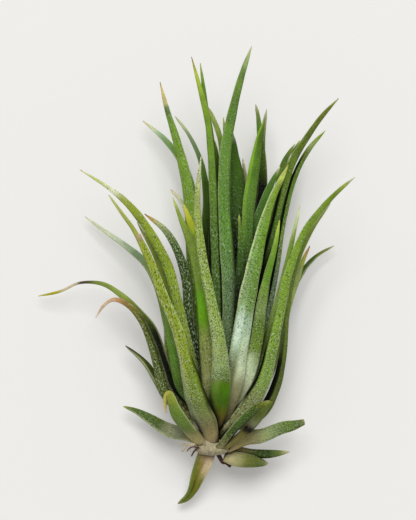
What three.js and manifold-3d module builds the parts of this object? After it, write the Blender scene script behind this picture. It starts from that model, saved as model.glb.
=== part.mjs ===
// A bare-rooted air plant lying on its side: a short stem wrapped in a rosette of narrow,
// channelled, tapering leaves, with a broken root stub and a few thin root wisps.
// Millimetres. +Y runs from the root end towards the leaf tips, +Z is up from the surface
// that the plant lies on, and the origin is on that surface under the middle of the plant.

import * as THREE from "three";
import { mergeVertices } from "three/addons/utils/BufferGeometryUtils.js";
import Module from "manifold-3d";

const wasm = await Module();
wasm.setup();

// ---- driving dimensions ----
const STEM_X = 3.2; // the stem's axis, parallel to Y
const STEM_Z = 12;
const STEM_BOTTOM = -36; // root end of the stem
const STEM_TOP = -15; // growing point, hidden in the heart of the rosette
const STEM_BOTTOM_RADIUS = 3.4;
const STEM_WAIST_RADIUS = 4.2;
const STEM_TOP_RADIUS = 2;
const ROOT_DEPTH = 2.6; // distance from the stem's axis at which a leaf takes root
const SHEATH_SLOPE = 0.9; // how far a sheath climbs for each millimetre it leaves the stem
const GAP = 0.3; // clearance between two pieces that touch
const BLADE_THICKNESS = 0.72;
const SHEATH_THICKNESS = 0.95;
const TIP_WIDTH = 0.42;
const TIP_LENGTH = 0.5; // the point past the last ring
const CHANNEL = 0.24; // depth of the blade's channel as a share of its width
const SHEATH_CHANNEL = 0.15;
const FLAT_SHARE = 0.4; // half width of the keel facet as a share of the half width
const RINGS_PER_POINT = 1.15;
const ROOT_WIDTH_SHARE = 0.8; // width where a leaf takes root, of its width at the first point
const STEM_SIDES = 14;
const SURFACE_SIZE = 200; // a block as wide as this, whose top is the surface
const STUB_RADII = [0.5, 0.4]; // at the stem and at the broken end
const WISP_RADII = [0.32, 0.26];
const ROOT_SIDES = 7;

const TONES = {
  sage: { color: 0x8ca45c, roughness: 0.78 },
  olive: { color: 0x8a9634, roughness: 0.7 },
  fresh: { color: 0x649a36, roughness: 0.55 },
  deep: { color: 0x456a2c, roughness: 0.7 },
  pale: { color: 0x9db487, roughness: 0.8 },
  bark: { color: 0xb9a07c, roughness: 0.85 },
  dark_root: { color: 0x5a3423, roughness: 0.8 },
  pale_root: { color: 0xb89a6c, roughness: 0.85 },
};

// ---- small tools ----
function toManifold(geometry) {
  const bare = geometry.clone();
  bare.deleteAttribute("normal");
  bare.deleteAttribute("uv");
  const merged = mergeVertices(bare, 1e-4);
  const vertProperties = new Float32Array(merged.attributes.position.array);
  const triVerts = new Uint32Array(merged.index.array);
  return new wasm.Manifold(new wasm.Mesh({ numProp: 3, vertProperties, triVerts }));
}

function toGeometry(solid) {
  const mesh = solid.getMesh();
  const geometry = new THREE.BufferGeometry();
  const positions = new Float32Array(mesh.numVert * 3);
  for (let i = 0; i < mesh.numVert; i += 1) {
    positions.set(mesh.vertProperties.subarray(i * mesh.numProp, i * mesh.numProp + 3), i * 3);
  }
  geometry.setAttribute("position", new THREE.BufferAttribute(positions, 3));
  geometry.setIndex(Array.from(mesh.triVerts));
  geometry.computeVertexNormals();
  return geometry;
}

function largestBody(solid) {
  const bodies = solid.decompose();
  bodies.sort((a, b) => b.volume() - a.volume());
  return bodies[0];
}

// Closes a stack of rings, each with the same number of points, with a fan at either end.
function skin(rings, firstCentre, lastCentre) {
  const sides = rings[0].length;
  const positions = [];
  for (const ring of rings) {
    for (const p of ring) {
      positions.push(p.x, p.y, p.z);
    }
  }
  const first = rings.length * sides;
  const last = first + 1;
  positions.push(firstCentre.x, firstCentre.y, firstCentre.z);
  positions.push(lastCentre.x, lastCentre.y, lastCentre.z);
  const index = [];
  for (let r = 0; r + 1 < rings.length; r += 1) {
    for (let s = 0; s < sides; s += 1) {
      const a = r * sides + s;
      const b = r * sides + ((s + 1) % sides);
      index.push(a, b, b + sides, a, b + sides, a + sides);
    }
  }
  const top = (rings.length - 1) * sides;
  for (let s = 0; s < sides; s += 1) {
    const next = (s + 1) % sides;
    index.push(first, next, s);
    index.push(last, top + s, top + next);
  }
  const geometry = new THREE.BufferGeometry();
  geometry.setAttribute("position", new THREE.Float32BufferAttribute(positions, 3));
  geometry.setIndex(index);
  return geometry;
}

const degrees = (angle) => (angle * Math.PI) / 180;

// ---- one leaf ----
// points: [x, y, z, width] from the sheath to the tip.
// face: the way the blade's rounded back looks, in degrees about Y, from the sheath to the
// tip: 0 is up, 90 is towards +X, 180 is down to the surface.
// climb: how far the sheath rises along Y between the stem and the first point.
function leafSolid(points, face, climb, grow) {
  const [x0, y0, z0, w0] = points[0];
  const reach = Math.hypot(x0 - STEM_X, z0 - STEM_Z);
  const rise = climb ?? SHEATH_SLOPE * Math.max(reach - ROOT_DEPTH, 0);
  const share = ROOT_DEPTH / reach;
  const rootX = STEM_X + (x0 - STEM_X) * share;
  const rootZ = STEM_Z + (z0 - STEM_Z) * share;
  const root = [rootX, y0 - rise, rootZ, w0 * ROOT_WIDTH_SHARE];
  const path = share < 1 ? [root, ...points] : points;
  const curve = new THREE.CatmullRomCurve3(
    path.map(([x, y, z]) => new THREE.Vector3(x, y, z)), false, "centripetal");
  const count = Math.round(path.length * RINGS_PER_POINT) + 1;
  const rings = [];
  let tangent;
  for (let i = 0; i < count; i += 1) {
    const along = i / (count - 1);
    const centre = curve.getPoint(along);
    tangent = curve.getTangent(along);
    const place = along * (path.length - 1);
    const before = Math.min(Math.floor(place), path.length - 2);
    const width = THREE.MathUtils.lerp(path[before][3], path[before + 1][3], place - before);
    const turn = degrees(THREE.MathUtils.lerp(face[0], face[1], along));
    const back = new THREE.Vector3(Math.sin(turn), 0, Math.cos(turn));
    back.addScaledVector(tangent, -back.dot(tangent)).normalize();
    const side = new THREE.Vector3().crossVectors(tangent, back);
    const fullness = THREE.MathUtils.clamp((width - 1) / 2.5, 0, 1);
    const half = Math.max(width, TIP_WIDTH) / 2 + grow;
    const thick = THREE.MathUtils.lerp(BLADE_THICKNESS, SHEATH_THICKNESS, fullness) / 2 + grow;
    const depth = width * THREE.MathUtils.lerp(SHEATH_CHANNEL, CHANNEL, Math.min(along * 3, 1));
    const ring = [];
    const outline = [[-1, 1], [-FLAT_SHARE, 1], [FLAT_SHARE, 1], [1, 1],
      [1, -1], [FLAT_SHARE, -1], [-FLAT_SHARE, -1], [-1, -1]];
    for (const [across, upOrDown] of outline) {
      const lift = depth * (0.5 - across * across) + upOrDown * thick;
      ring.push(centre.clone().addScaledVector(side, across * half).addScaledVector(back, lift));
    }
    rings.push(ring);
  }
  const start = curve.getPoint(0).addScaledVector(curve.getTangent(0), -grow);
  const end = curve.getPoint(1).addScaledVector(tangent, TIP_LENGTH + grow);
  return toManifold(skin(rings, start, end));
}

// ---- the leaves, those nearest the eye first ----
// name, tone, face at the sheath and at the tip, points, climb where it isn't the usual one.
const LEAVES = [
  // front of the rosette
  ["leaf_front_1", "sage", [0, -5], [[4.9, -22, 24.9, 4.0], [4.9, -18, 26, 3.5], [4.6, -13.5, 27, 2.9],
    [3, -4.8, 28.8, 2.1], [1.4, 3.2, 30.4, 1.8], [0.4, 11.2, 31.8, 1.5], [0.3, 16, 32.6, 1.1],
    [1, 23.4, 33.8, 0.45]]],
  ["leaf_front_2", "sage", [-22, -35], [[2.2, -29.9, 18.2, 4.4], [0.9, -27, 21.2, 5.0],
    [-0.1, -24.2, 23.4, 5.0], [-1, -20.8, 24.7, 4.2], [-2, -16.8, 25.5, 3.3],
    [-3.7, -10.8, 26.4, 2.6], [-6.6, -3.8, 27, 2.3], [-9, 2.8, 27.6, 1.8], [-10.8, 6.6, 27.9, 1.4],
    [-11.3, 8, 28, 0.9]]],
  ["leaf_front_3", "fresh", [28, 35], [[11.4, -24.6, 21.4, 4.0], [13.6, -20.4, 22.5, 3.4],
    [15, -14.8, 23.2, 2.8], [17.2, -4.8, 24.2, 2.2], [18.4, 0.6, 24.6, 1.8], [21.7, 9, 25.4, 1.35],
    [25.5, 14, 26, 1.15], [28.5, 17.1, 26.4, 0.85], [31.4, 19.5, 26.5, 0.45]], 8.6],
  ["leaf_front_4", "sage", [10, 25], [[7.2, -22, 21, 4.2], [8.6, -14.5, 23, 3.6], [10.2, -4.8, 25, 3.5],
    [11.4, 1.2, 26.2, 3.1], [13.2, 9.2, 27.6, 2.3], [15.2, 15.6, 28.8, 1.5], [16.6, 18.6, 29.4, 1.2],
    [18.2, 21.8, 30, 0.45]], 7.6],
  ["leaf_front_5", "fresh", [30, 25], [[9.6, -21.8, 18.4, 3.2], [12.2, -12.8, 20.2, 3.0],
    [13, -6.6, 21.2, 2.6], [14.2, 0, 22.4, 1.7], [15.6, 5.4, 23.4, 1.1], [16.6, 10.8, 24.2, 0.45]]],
  ["leaf_front_6", "fresh", [-5, -15], [[2.5, -22, 20.8, 3.0], [1.7, -12.8, 22, 2.6],
    [1, -4.8, 22.8, 2.0], [-0.2, 3.2, 23.4, 1.9], [-1.4, 7.6, 23.8, 1.7], [-3, 11.4, 24.2, 0.9],
    [-4.5, 15.4, 24.6, 0.45]]],
  ["leaf_front_7", "olive", [-20, -35], [[0.2, -21.6, 19, 2.6], [-1.6, -14.4, 20.6, 2.4],
    [-3.6, -5.8, 21.6, 2.2], [-5.6, 1.8, 22.2, 2.2], [-8.4, 7.4, 22.8, 1.9], [-11.4, 11.9, 23.2, 1.7],
    [-14.6, 15.4, 23.4, 1.3], [-18, 18, 23.4, 0.7], [-22.8, 21, 23.4, 0.42]]],
  // short leaves folded over the front of the base
  ["leaf_base_1", "deep", [25, 30], [[7.6, -30.4, 20.4, 1.9], [9.6, -28.4, 23, 2.0],
    [12, -26.2, 24.6, 1.5], [14.4, -25, 25, 0.6]], 4.2],
  ["leaf_base_2", "olive", [40, 40], [[9, -31.8, 16.8, 2.0], [11.2, -29.6, 18.2, 2.4],
    [13, -27.4, 19.2, 2.0], [14.6, -25.2, 20.2, 1.2]], 2.8],
  ["leaf_base_3", "deep", [-30, -40], [[-0.9, -31.2, 17.2, 3.0], [-2, -30, 19.4, 3.6],
    [-3.1, -28.6, 21.2, 3.5], [-4.1, -26.8, 22.4, 3.0], [-4.8, -24.7, 22.9, 2.2],
    [-5.4, -23.5, 22.2, 1.7], [-6.1, -24.8, 20.8, 1.1], [-6, -27.2, 19.2, 0.5]], 2.6],
  // heart of the rosette
  ["leaf_heart_1", "deep", [5, 5], [[5.6, -21.5, 16.6, 3.0], [6.6, -12, 18.6, 3.0],
    [6.8, -2.8, 20, 3.1], [6.2, 5.2, 21, 2.9], [5.6, 17.2, 22, 2.4], [5.9, 25, 22.5, 2.2],
    [7.3, 32.8, 22.9, 1.8], [8.9, 39.2, 23.2, 1.3], [9.9, 42.4, 23.3, 0.95],
    [11, 45.5, 23.4, 0.42]]],
  ["leaf_heart_2", "fresh", [-5, -15], [[4.1, -19.5, 14.9, 2.2], [4.2, -4.8, 17, 1.9],
    [3.7, 9.2, 19, 1.7], [3.4, 19.2, 19.8, 1.7], [2.7, 29.2, 20.4, 1.4], [1.4, 35.2, 20.7, 1.1],
    [-0.8, 43.4, 21, 0.42]]],
  ["leaf_heart_3", "fresh", [-5, -10], [[3.4, -17.6, 17.4, 2.3], [2.2, -4.8, 19, 2.0],
    [0.9, 2.6, 19.7, 1.7], [-0.8, 9.6, 20.3, 1.4], [-2.3, 14, 20.7, 0.6]]],
  ["leaf_heart_4", "deep", [15, 20], [[6.3, -21.5, 18.4, 2.0], [7.8, -16, 19.9, 1.9],
    [8.4, -6, 21.6, 1.8], [8.9, 4.6, 22.3, 1.3], [8.7, 10.2, 22.6, 0.6],
    [8.6, 11.8, 22.7, 0.42]], 4.6],
  ["leaf_heart_5", "fresh", [20, 20], [[6.4, -19, 13.8, 2.5], [9, -8, 16.4, 2.6],
    [10.2, 6, 17.8, 2.6], [10.6, 14.4, 18.2, 2.7], [11.6, 21.2, 18.4, 2.4], [12.6, 27.2, 18.5, 1.4],
    [13.7, 31.2, 18.5, 0.42]]],
  ["leaf_heart_6", "deep", [10, 10], [[5.8, -17, 11.8, 2.3], [8.2, -2, 14.4, 2.4],
    [8.2, 13, 15.4, 2.6], [8.2, 20, 15.6, 2.5], [7.6, 25, 15.7, 1.6], [7.4, 28.2, 15.8, 0.5]]],
  ["leaf_heart_7", "deep", [-10, -10], [[3, -17, 13.6, 2.2], [3.1, -2, 14.4, 1.6],
    [3.4, 12, 16, 1.5], [3, 24, 17, 1.3], [2, 34, 17.6, 0.9], [0.9, 42.2, 18, 0.42]]],
  ["leaf_heart_8", "deep", [170, 175], [[3.9, -15.5, 10.6, 1.6], [5.2, 4, 12.6, 1.7],
    [5.6, 18, 13.4, 1.5], [4.9, 27.2, 13.7, 1.1], [3.4, 31.6, 13.8, 0.9], [2.5, 33.5, 13.8, 0.42]]],
  ["leaf_heart_9", "deep", [175, 175], [[3, -14.8, 9.8, 1.3], [4, 6, 10.6, 1.3],
    [4.6, 20, 10.8, 1.1], [4.1, 24.4, 10.8, 0.9], [3.7, 26.8, 10.8, 0.42]]],
  ["leaf_heart_10", "deep", [5, 0], [[5.3, -16, 14.4, 1.4], [6.1, 0, 17, 1.4],
    [6.2, 14, 18.9, 1.5], [6.2, 24, 19.4, 1.2], [5.5, 31.3, 19.6, 0.42]]],
  ["leaf_heart_11", "pale", [175, 175], [[6.4, -15.5, 10.2, 1.5], [9.2, 0, 13.2, 1.5],
    [10, 12, 14, 1.4], [10, 18, 14.2, 1.1], [9.4, 23.1, 14.3, 0.42]]],
  // left side
  ["leaf_left_1", "olive", [-52, -50], [[-6.1, -23.2, 15.4, 3.6], [-7.5, -18.2, 15.9, 2.9],
    [-8.9, -13.4, 16.2, 2.3], [-11.1, -8.5, 16.2, 1.7], [-13.7, -5.7, 15.6, 1.15],
    [-16.4, -4.7, 14.2, 0.8], [-18.5, -6, 12.6, 0.6], [-19.9, -8.1, 11.6, 0.42]]],
  ["leaf_left_2", "deep", [-58, -40], [[-4.4, -22, 11.6, 4.2], [-6.3, -17.4, 12.6, 3.2],
    [-8.5, -11.2, 13, 2.8], [-11.5, -7.2, 12.9, 1.9], [-15, -3.8, 12, 1.3],
    [-18.6, -1.6, 10.8, 0.85], [-23.4, -1.4, 8.8, 0.5], [-27.2, -3.1, 6.6, 0.55],
    [-31.4, -4, 4, 0.42]]],
  ["leaf_left_3", "fresh", [-30, -35], [[-3.2, -22, 18, 2.1], [-4.7, -15, 19, 2.0],
    [-6.1, -8, 19.8, 1.8], [-8.1, -0.8, 20.4, 1.5], [-11.9, 8.4, 21, 1.0], [-14.9, 12.7, 21.2, 0.7],
    [-17.2, 15.9, 21.2, 0.42]]],
  ["leaf_left_4", "deep", [-15, -30], [[1, -19, 16.2, 2.1], [-1.2, -10.8, 17.2, 1.9],
    [-2, -0.8, 17.8, 1.9], [-3.6, 4.8, 18.2, 1.8], [-6.2, 9.2, 18.4, 1.3], [-10, 12.2, 18.4, 0.45]]],
  ["leaf_left_5", "deep", [-35, -35], [[-1.4, -19.5, 15.6, 1.9], [-3.6, -10.4, 17, 1.7],
    [-5.8, -2, 17.8, 1.3], [-8.2, 4.2, 18.2, 1.0], [-11.6, 10.5, 18.4, 0.42]]],
  ["leaf_left_6", "fresh", [-20, -25], [[1.4, -19.5, 13.9, 2.3], [-0.5, -9, 14.3, 2.0],
    [-1, 4, 14.8, 2.1], [-1.3, 14.2, 15.6, 2.4], [-2.2, 20.4, 16, 2.3], [-3.9, 27.2, 16.3, 1.7],
    [-5.8, 33.4, 16.5, 1.0], [-7.1, 38.4, 16.6, 0.42]]],
  ["leaf_left_7", "fresh", [200, 190], [[1.8, -17, 9.2, 2.2], [0.6, -4, 8.8, 2.2],
    [-0.2, 12, 8.4, 2.4], [-2.4, 22, 7.6, 1.6], [-6, 27.1, 6.8, 1.15], [-10.4, 30.9, 5.8, 0.42]]],
  ["leaf_left_8", "deep", [195, 185], [[2.2, -15.8, 11.6, 1.6], [1.6, 4, 11.9, 1.8],
    [2.1, 16, 12.2, 1.5], [1, 22.8, 12.3, 1.0], [-1.4, 28.2, 12.3, 0.7], [-4, 31.7, 12.3, 0.42]]],
  ["leaf_left_9", "deep", [225, 200], [[-0.8, -19.5, 9.4, 3.0], [-4.4, -9.5, 9, 2.1],
    [-7.6, -2, 8, 1.8], [-10, 2.4, 7.2, 1.6], [-14.2, 6.1, 6, 1.2], [-18.2, 8.9, 4.8, 0.8],
    [-22, 11.7, 3.6, 0.42]]],
  ["leaf_left_10", "deep", [250, 235], [[-6, -24, 9, 3.8], [-8, -20.6, 8.8, 2.8],
    [-9.8, -17.8, 8.6, 1.8], [-11.8, -15.8, 7.8, 1.0], [-13.9, -14.2, 7, 0.42]], 7.6],
  ["leaf_left_11", "deep", [230, 220], [[-2.4, -31.8, 8.6, 2.8], [-5.6, -30.9, 7.4, 3.0],
    [-9.2, -28.7, 6.2, 2.4], [-12, -27.1, 5.4, 1.2], [-14.3, -26.3, 4.8, 0.42]], 1.2],
  ["leaf_left_12", "pale", [190, 190], [[2.6, -14.4, 12.9, 1.3], [1.1, -2, 12.8, 1.2],
    [-0.7, 9, 12.6, 1.0], [-3, 15, 12.6, 0.75], [-4.8, 17, 12.6, 0.5]]],
  // right side
  ["leaf_right_1", "olive", [30, 40], [[8.2, -19.6, 15.8, 2.4], [11.4, -8, 17.6, 2.2],
    [13.8, 2.8, 18.8, 2.0], [15.6, 10, 19.4, 1.8], [17.3, 17, 20, 1.9], [19.3, 23, 20.4, 1.9],
    [22.6, 28.4, 20.8, 1.3], [25.2, 32, 21.2, 1.0], [28.2, 35.2, 21.6, 0.42]]],
  ["leaf_right_2", "fresh", [45, 45], [[9.6, -19.2, 13.9, 2.3], [13.4, -10.4, 15.6, 2.0],
    [15.8, 0.2, 16.6, 1.5], [17.5, 11.2, 17.2, 1.2], [19.8, 20.2, 17.6, 1.4],
    [22.7, 25.6, 17.8, 1.15], [25.6, 28.8, 18, 0.45]]],
  ["leaf_right_3", "fresh", [35, 35], [[11.4, -19.6, 16.6, 2.2], [15, -10, 18.8, 1.9],
    [17.2, -1.6, 20, 1.5], [19.1, 6.8, 21, 1.0], [20.7, 14, 21.6, 0.42]]],
  ["leaf_right_4", "deep", [60, 40], [[12.8, -27.6, 15.6, 3.4], [15.6, -23, 16.6, 3.0],
    [17.2, -16.8, 17.4, 2.2], [18.1, -7, 18.4, 1.7], [19.6, 1.2, 19.4, 1.4], [23, 9.2, 20.4, 1.0],
    [26.6, 14.2, 21, 0.45]], 3],
  ["leaf_right_5", "deep", [62, 50], [[12.6, -22.4, 12.6, 3.4], [16.4, -14, 13.9, 2.4],
    [18.7, -5.2, 15.2, 1.6], [20.2, -0.8, 15.6, 1.3], [21.3, 3, 15.8, 1.0], [22.6, 5.7, 16, 0.42]]],
  ["leaf_right_6", "fresh", [125, 150], [[12.8, -21.8, 8.6, 4.4], [16.3, -14, 7.8, 3.6],
    [18.8, -4, 6.6, 1.5], [20.6, -0.4, 5.9, 1.2], [22.2, 2.1, 5.2, 1.0], [24.4, 4.2, 4.4, 0.7],
    [27.4, 5.9, 3.4, 0.42]], 3.6],
  ["leaf_right_7", "deep", [25, 25], [[7.2, -17, 12.5, 2.3], [10.6, -3, 14.2, 2.3],
    [11.8, 8.6, 14.9, 2.2], [13.6, 14.8, 15.2, 1.9], [15.2, 18.8, 15.4, 1.2], [16.6, 21.5, 15.6, 0.42]]],
  ["leaf_right_8", "deep", [150, 165], [[7, -17, 10.9, 2.1], [12.6, -2, 12, 2.0], [15.8, 14, 12.4, 1.7],
    [17.6, 22.6, 12.4, 1.2], [19.6, 26.1, 12.4, 0.42]]],
  ["leaf_right_9", "deep", [150, 165], [[8, -18, 9.2, 2.0], [14.8, -2, 9.6, 1.8], [17.6, 13, 9.6, 1.4],
    [19.4, 24, 9.6, 0.9], [20.6, 26.8, 9.6, 0.42]]],
  ["leaf_right_10", "deep", [170, 170], [[5.8, -15, 9.8, 1.9], [10.6, 3, 12.3, 1.9],
    [13.3, 17, 12.9, 1.9], [13, 26, 13.1, 1.5], [12.4, 32, 13.2, 0.8], [12, 34, 13.2, 0.42]]],
  ["leaf_right_11", "deep", [165, 165], [[6.6, -14, 8, 1.7], [11.2, 7, 9.8, 1.7],
    [12.9, 21.2, 10.4, 1.5], [13.4, 28.8, 10.6, 1.1], [14.1, 33, 10.7, 0.42]]],
  ["leaf_right_12", "pale", [40, 30], [[10.4, -32.4, 12.6, 2.8], [13.2, -32, 13.2, 2.9],
    [17.2, -30.4, 12.8, 2.5], [19.6, -29.9, 12, 2.0], [21.4, -29.3, 11.4, 1.1]], 2.2],
  ["leaf_right_13", "pale", [20, 10], [[5.6, -36, 11.2, 2.2], [8.1, -36.7, 11, 2.9],
    [11.1, -37.1, 10, 2.7], [14.1, -37.6, 8.8, 0.7]], -1],
  ["leaf_right_14", "deep", [60, 50], [[8.2, -34.9, 9.8, 1.5], [11.1, -35.5, 9.2, 1.7],
    [14.5, -35.7, 8.8, 1.7], [18.4, -35.3, 8.2, 0.5]], 0.2],
  ["leaf_base_4", "olive", [180, 200], [[2.3, -35, 10.4, 3.2], [1.7, -36.9, 9.6, 3.6],
    [0.4, -40.1, 7.6, 2.8], [-0.6, -42.8, 5.6, 2.1], [-1.8, -44.6, 4, 1.4],
    [-3.4, -45.6, 3, 0.5]], -3],
  // underside, lying along the surface
  ["leaf_under_1", "sage", [185, 180], [[1.6, -23, 2.1, 5.2], [0.6, -15, 0.75, 4.0], [0, -4, 0.75, 2.8],
    [-0.6, 5, 0.55, 2.2], [-1.4, 13, 1.2, 1.5], [-2.4, 19, 2.4, 0.5]]],
  ["leaf_under_2", "fresh", [175, 175], [[6.8, -22.5, 2.3, 4.6], [8, -14, 0.75, 3.6], [9, -2, 0.75, 2.7],
    [10, 6, 0.55, 2.1], [11, 13, 1.2, 1.5], [12.4, 20, 2.6, 0.5]], 3.6],
  ["leaf_under_3", "olive", [215, 200], [[-3.8, -22.5, 3.8, 4.6], [-4.8, -15, 1.2, 3.4], [-5.4, -8, 0.7, 2.6],
    [-6.2, -1, 0.8, 1.8], [-7.6, 5, 1.6, 0.5]], 4.4],
  ["leaf_under_4", "fresh", [145, 160], [[11.2, -22, 4, 4.4], [12.6, -15, 1.2, 3.4], [13.6, -8, 0.7, 2.6],
    [14.8, 0, 0.8, 1.8], [16.2, 7, 1.8, 0.5]], 8.6],
  ["leaf_under_5", "deep", [180, 180], [[3.9, -19, 5.4, 3.4], [4.6, -8, 3.9, 3.0], [5, 3, 3.2, 2.5],
    [5.2, 13, 3.2, 1.9], [5.6, 22, 4.2, 0.5]]],
  ["leaf_under_6", "deep", [190, 185], [[1.4, -17.5, 7, 2.8], [-0.2, -8, 5.6, 2.4],
    [-1.2, -1, 4.9, 1.9], [-1.4, 6, 4.8, 0.5]]],
  ["leaf_under_7", "deep", [165, 170], [[6.6, -18, 6.6, 2.8], [10.4, -7, 5.8, 2.4], [13.2, 3, 5.4, 2.0],
    [15.8, 12, 5.6, 1.3], [17.6, 18, 6.2, 0.5]]],
];

// ---- the stem: a short tapering stub, widest where the outer leaves sit ----
function stemSolid(grow) {
  const profile = [
    [0, STEM_BOTTOM - grow],
    [STEM_BOTTOM_RADIUS * 0.75 + grow, STEM_BOTTOM - grow],
    [STEM_BOTTOM_RADIUS + grow, STEM_BOTTOM + 1],
    [STEM_WAIST_RADIUS + grow, STEM_BOTTOM + 5],
    [STEM_WAIST_RADIUS * 0.9 + grow, STEM_BOTTOM + 11],
    [STEM_TOP_RADIUS + grow, STEM_TOP - 1],
    [0, STEM_TOP + grow],
  ];
  const lathe = new THREE.LatheGeometry(profile.map(([r, y]) => new THREE.Vector2(r, y)), STEM_SIDES);
  lathe.translate(STEM_X, 0, STEM_Z);
  return toManifold(lathe);
}

// ---- roots: round, tapering, wandering strands ----
function strandSolid(points, [radius, tipRadius], grow) {
  const curve = new THREE.CatmullRomCurve3(points.map((p) => new THREE.Vector3(...p)));
  const count = points.length * 2;
  const rings = [];
  const up = new THREE.Vector3(0, 0, 1);
  for (let i = 0; i < count; i += 1) {
    const along = i / (count - 1);
    const centre = curve.getPoint(along);
    const tangent = curve.getTangent(along);
    const side = new THREE.Vector3().crossVectors(up, tangent).normalize();
    const rise = new THREE.Vector3().crossVectors(tangent, side);
    const r = THREE.MathUtils.lerp(radius, tipRadius, along) + grow;
    const ring = [];
    for (let s = 0; s < ROOT_SIDES; s += 1) {
      const turn = (2 * Math.PI * s) / ROOT_SIDES;
      const spoke = side.clone().multiplyScalar(Math.cos(turn)).addScaledVector(rise, Math.sin(turn));
      ring.push(centre.clone().addScaledVector(spoke, r));
    }
    rings.push(ring);
  }
  return toManifold(skin(rings, curve.getPoint(0), curve.getPoint(1)));
}

const ROOTS = [
  ["root_stub", "dark_root", STUB_RADII,
    [[3.8, -34.6, 10.4], [4.8, -36.4, 9.9], [5.7, -37.3, 9.4], [6.9, -38.2, 8.9]]],
  ["root_wisp_1", "pale_root", WISP_RADII,
    [[1.8, -33.6, 14], [0.2, -33.4, 14.8], [-1.2, -33.3, 14.4], [-2.4, -33.8, 13.6], [-2.8, -35, 12.8]]],
  ["root_wisp_2", "dark_root", WISP_RADII,
    [[1.6, -34.2, 13.4], [0.4, -34.3, 14.4], [-0.6, -34.9, 14.8], [-0.9, -36, 14.2]]],
];

// ---- assembly ----
const plant = new THREE.Group();
plant.name = "air_plant";
const taken = []; // the solids already in place, each grown by the clearance

function boxesMeet(a, b) {
  return [0, 1, 2].every((k) => a.min[k] < b.max[k] && b.min[k] < a.max[k]);
}

function place(name, solid, grown, tone) {
  let body = solid;
  for (const other of taken) {
    if (boxesMeet(body.boundingBox(), other.boundingBox())) {
      body = body.subtract(other);
    }
  }
  body = largestBody(body);
  taken.push(grown);
  const material = new THREE.MeshStandardMaterial({ ...tone, metalness: 0 });
  const mesh = new THREE.Mesh(toGeometry(body), material);
  mesh.name = name;
  plant.add(mesh);
}

const block = new THREE.BoxGeometry(SURFACE_SIZE, SURFACE_SIZE, SURFACE_SIZE);
block.translate(0, 0, -SURFACE_SIZE / 2);
const surface = toManifold(block);

place("stem", stemSolid(0), stemSolid(GAP), TONES.bark);

for (const [name, tone, face, points, climb] of LEAVES) {
  const solid = leafSolid(points, face, climb, 0).subtract(surface);
  place(name, solid, leafSolid(points, face, climb, GAP), TONES[tone]);
}

for (const [name, tone, radii, points] of ROOTS) {
  place(name, strandSolid(points, radii, 0), strandSolid(points, radii, GAP), TONES[tone]);
}

export default plant;
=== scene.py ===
"""An air plant lying on its side: leaves, stem and roots with their finished surfaces."""

import math

import bpy
import numpy as np
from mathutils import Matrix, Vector


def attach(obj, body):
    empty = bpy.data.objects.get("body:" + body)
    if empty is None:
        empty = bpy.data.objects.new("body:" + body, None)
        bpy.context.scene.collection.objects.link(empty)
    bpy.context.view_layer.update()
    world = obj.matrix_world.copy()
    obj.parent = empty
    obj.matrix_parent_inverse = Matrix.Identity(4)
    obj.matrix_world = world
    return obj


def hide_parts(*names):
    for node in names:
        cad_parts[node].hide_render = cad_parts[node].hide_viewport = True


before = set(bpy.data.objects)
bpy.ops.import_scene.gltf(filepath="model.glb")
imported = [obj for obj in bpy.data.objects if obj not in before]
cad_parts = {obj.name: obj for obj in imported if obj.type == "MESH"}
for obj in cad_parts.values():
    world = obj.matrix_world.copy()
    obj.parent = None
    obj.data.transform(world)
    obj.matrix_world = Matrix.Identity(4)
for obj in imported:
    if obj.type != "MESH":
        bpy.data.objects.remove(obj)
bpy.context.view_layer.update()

# ---- driving dimensions, in millimetres until metres() ----
MM = 0.001  # metres in a millimetre
STEM_X, STEM_Z = 3.2, 12.0  # the stem's axis, parallel to Y
ROOT_DEPTH = 2.6  # distance from the stem's axis at which a leaf takes root
SHEATH_SLOPE = 0.9  # how far a sheath climbs for each millimetre it leaves the stem
ROOT_WIDTH_SHARE = 0.8  # width where a leaf takes root, of its width at the first point
STRIPS_ACROSS = 12  # faces across a blade, before it is smoothed
STEP_ALONG, FEWEST_STEPS = 1.0, 16  # length of a face along a blade, and the fewest of them

BLADE_THICKNESS, SHEATH_THICKNESS = 0.72, 0.95
THIN_WIDTH, THICK_WIDTH = 1.0, 3.5  # widths at which a leaf is as thin as a blade, and as thick as a sheath
THICKNESS_PER_WIDTH, LEAST_THICKNESS = 0.6, 0.06  # a narrow tip is no thicker than these allow
EDGE_THINNING = 0.72  # share of its thickness that a blade loses at its edges

CHANNEL, SHEATH_CHANNEL = 0.11, 0.1  # depth of the channel as a share of the width
CHANNEL_RATE = 3  # the blade's own channel is reached a third of the way along
CHANNEL_ROUNDNESS = 2.4
SHEATH_SPREAD, SPREAD_RATE = 1.06, 4  # a living sheath is a little broader over its first quarter

TIP_WIDTH = 0.14
TIP_START, TIP_SHARE, TIP_FALL = 0.93, 0.07, 1.5  # where a tip draws in, over what share, and how
TIP_REACH = 0.4  # how far a tip goes on past its last point
BLUNT_WIDTH = 0.8  # a leaf whose last point is wider than this ends bluntly
WAVE_SHARE, WAVE_RATE = 0.03, 0.9  # the width waves by this share, at this many radians a millimetre
TWIST_DEGREES, TWIST_RATE = 5, 5  # a leaf turns to and fro by this much, at this many radians in all
STARTS = (0, 6)  # each leaf starts its wave and its turning between these radians
MAP_START_MM = 50  # each leaf's map of its skin starts up to this far off

# The photograph's frame: its long side is its height.
PHOTO_HEIGHT_PX = 520
MM_PER_PX = 0.2
VIEW_CENTRE = (2.4, 3.2, 15.0)  # what the camera looks at
CAMERA_HEIGHT = 2500.0  # far enough that near and far leaves show at one scale
CAMERA_REACH_M = 20
SENSOR = 36.0


def metres(value):
    return value * MM


def linear(code):
    """An sRGB hex colour as linear red, green, blue and full alpha."""
    parts = [int(code[i:i + 2], 16) / 255 for i in (0, 2, 4)]
    return [c / 12.92 if c <= 0.04045 else ((c + 0.055) / 1.055) ** 2.4 for c in parts] + [1.0]


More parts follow.
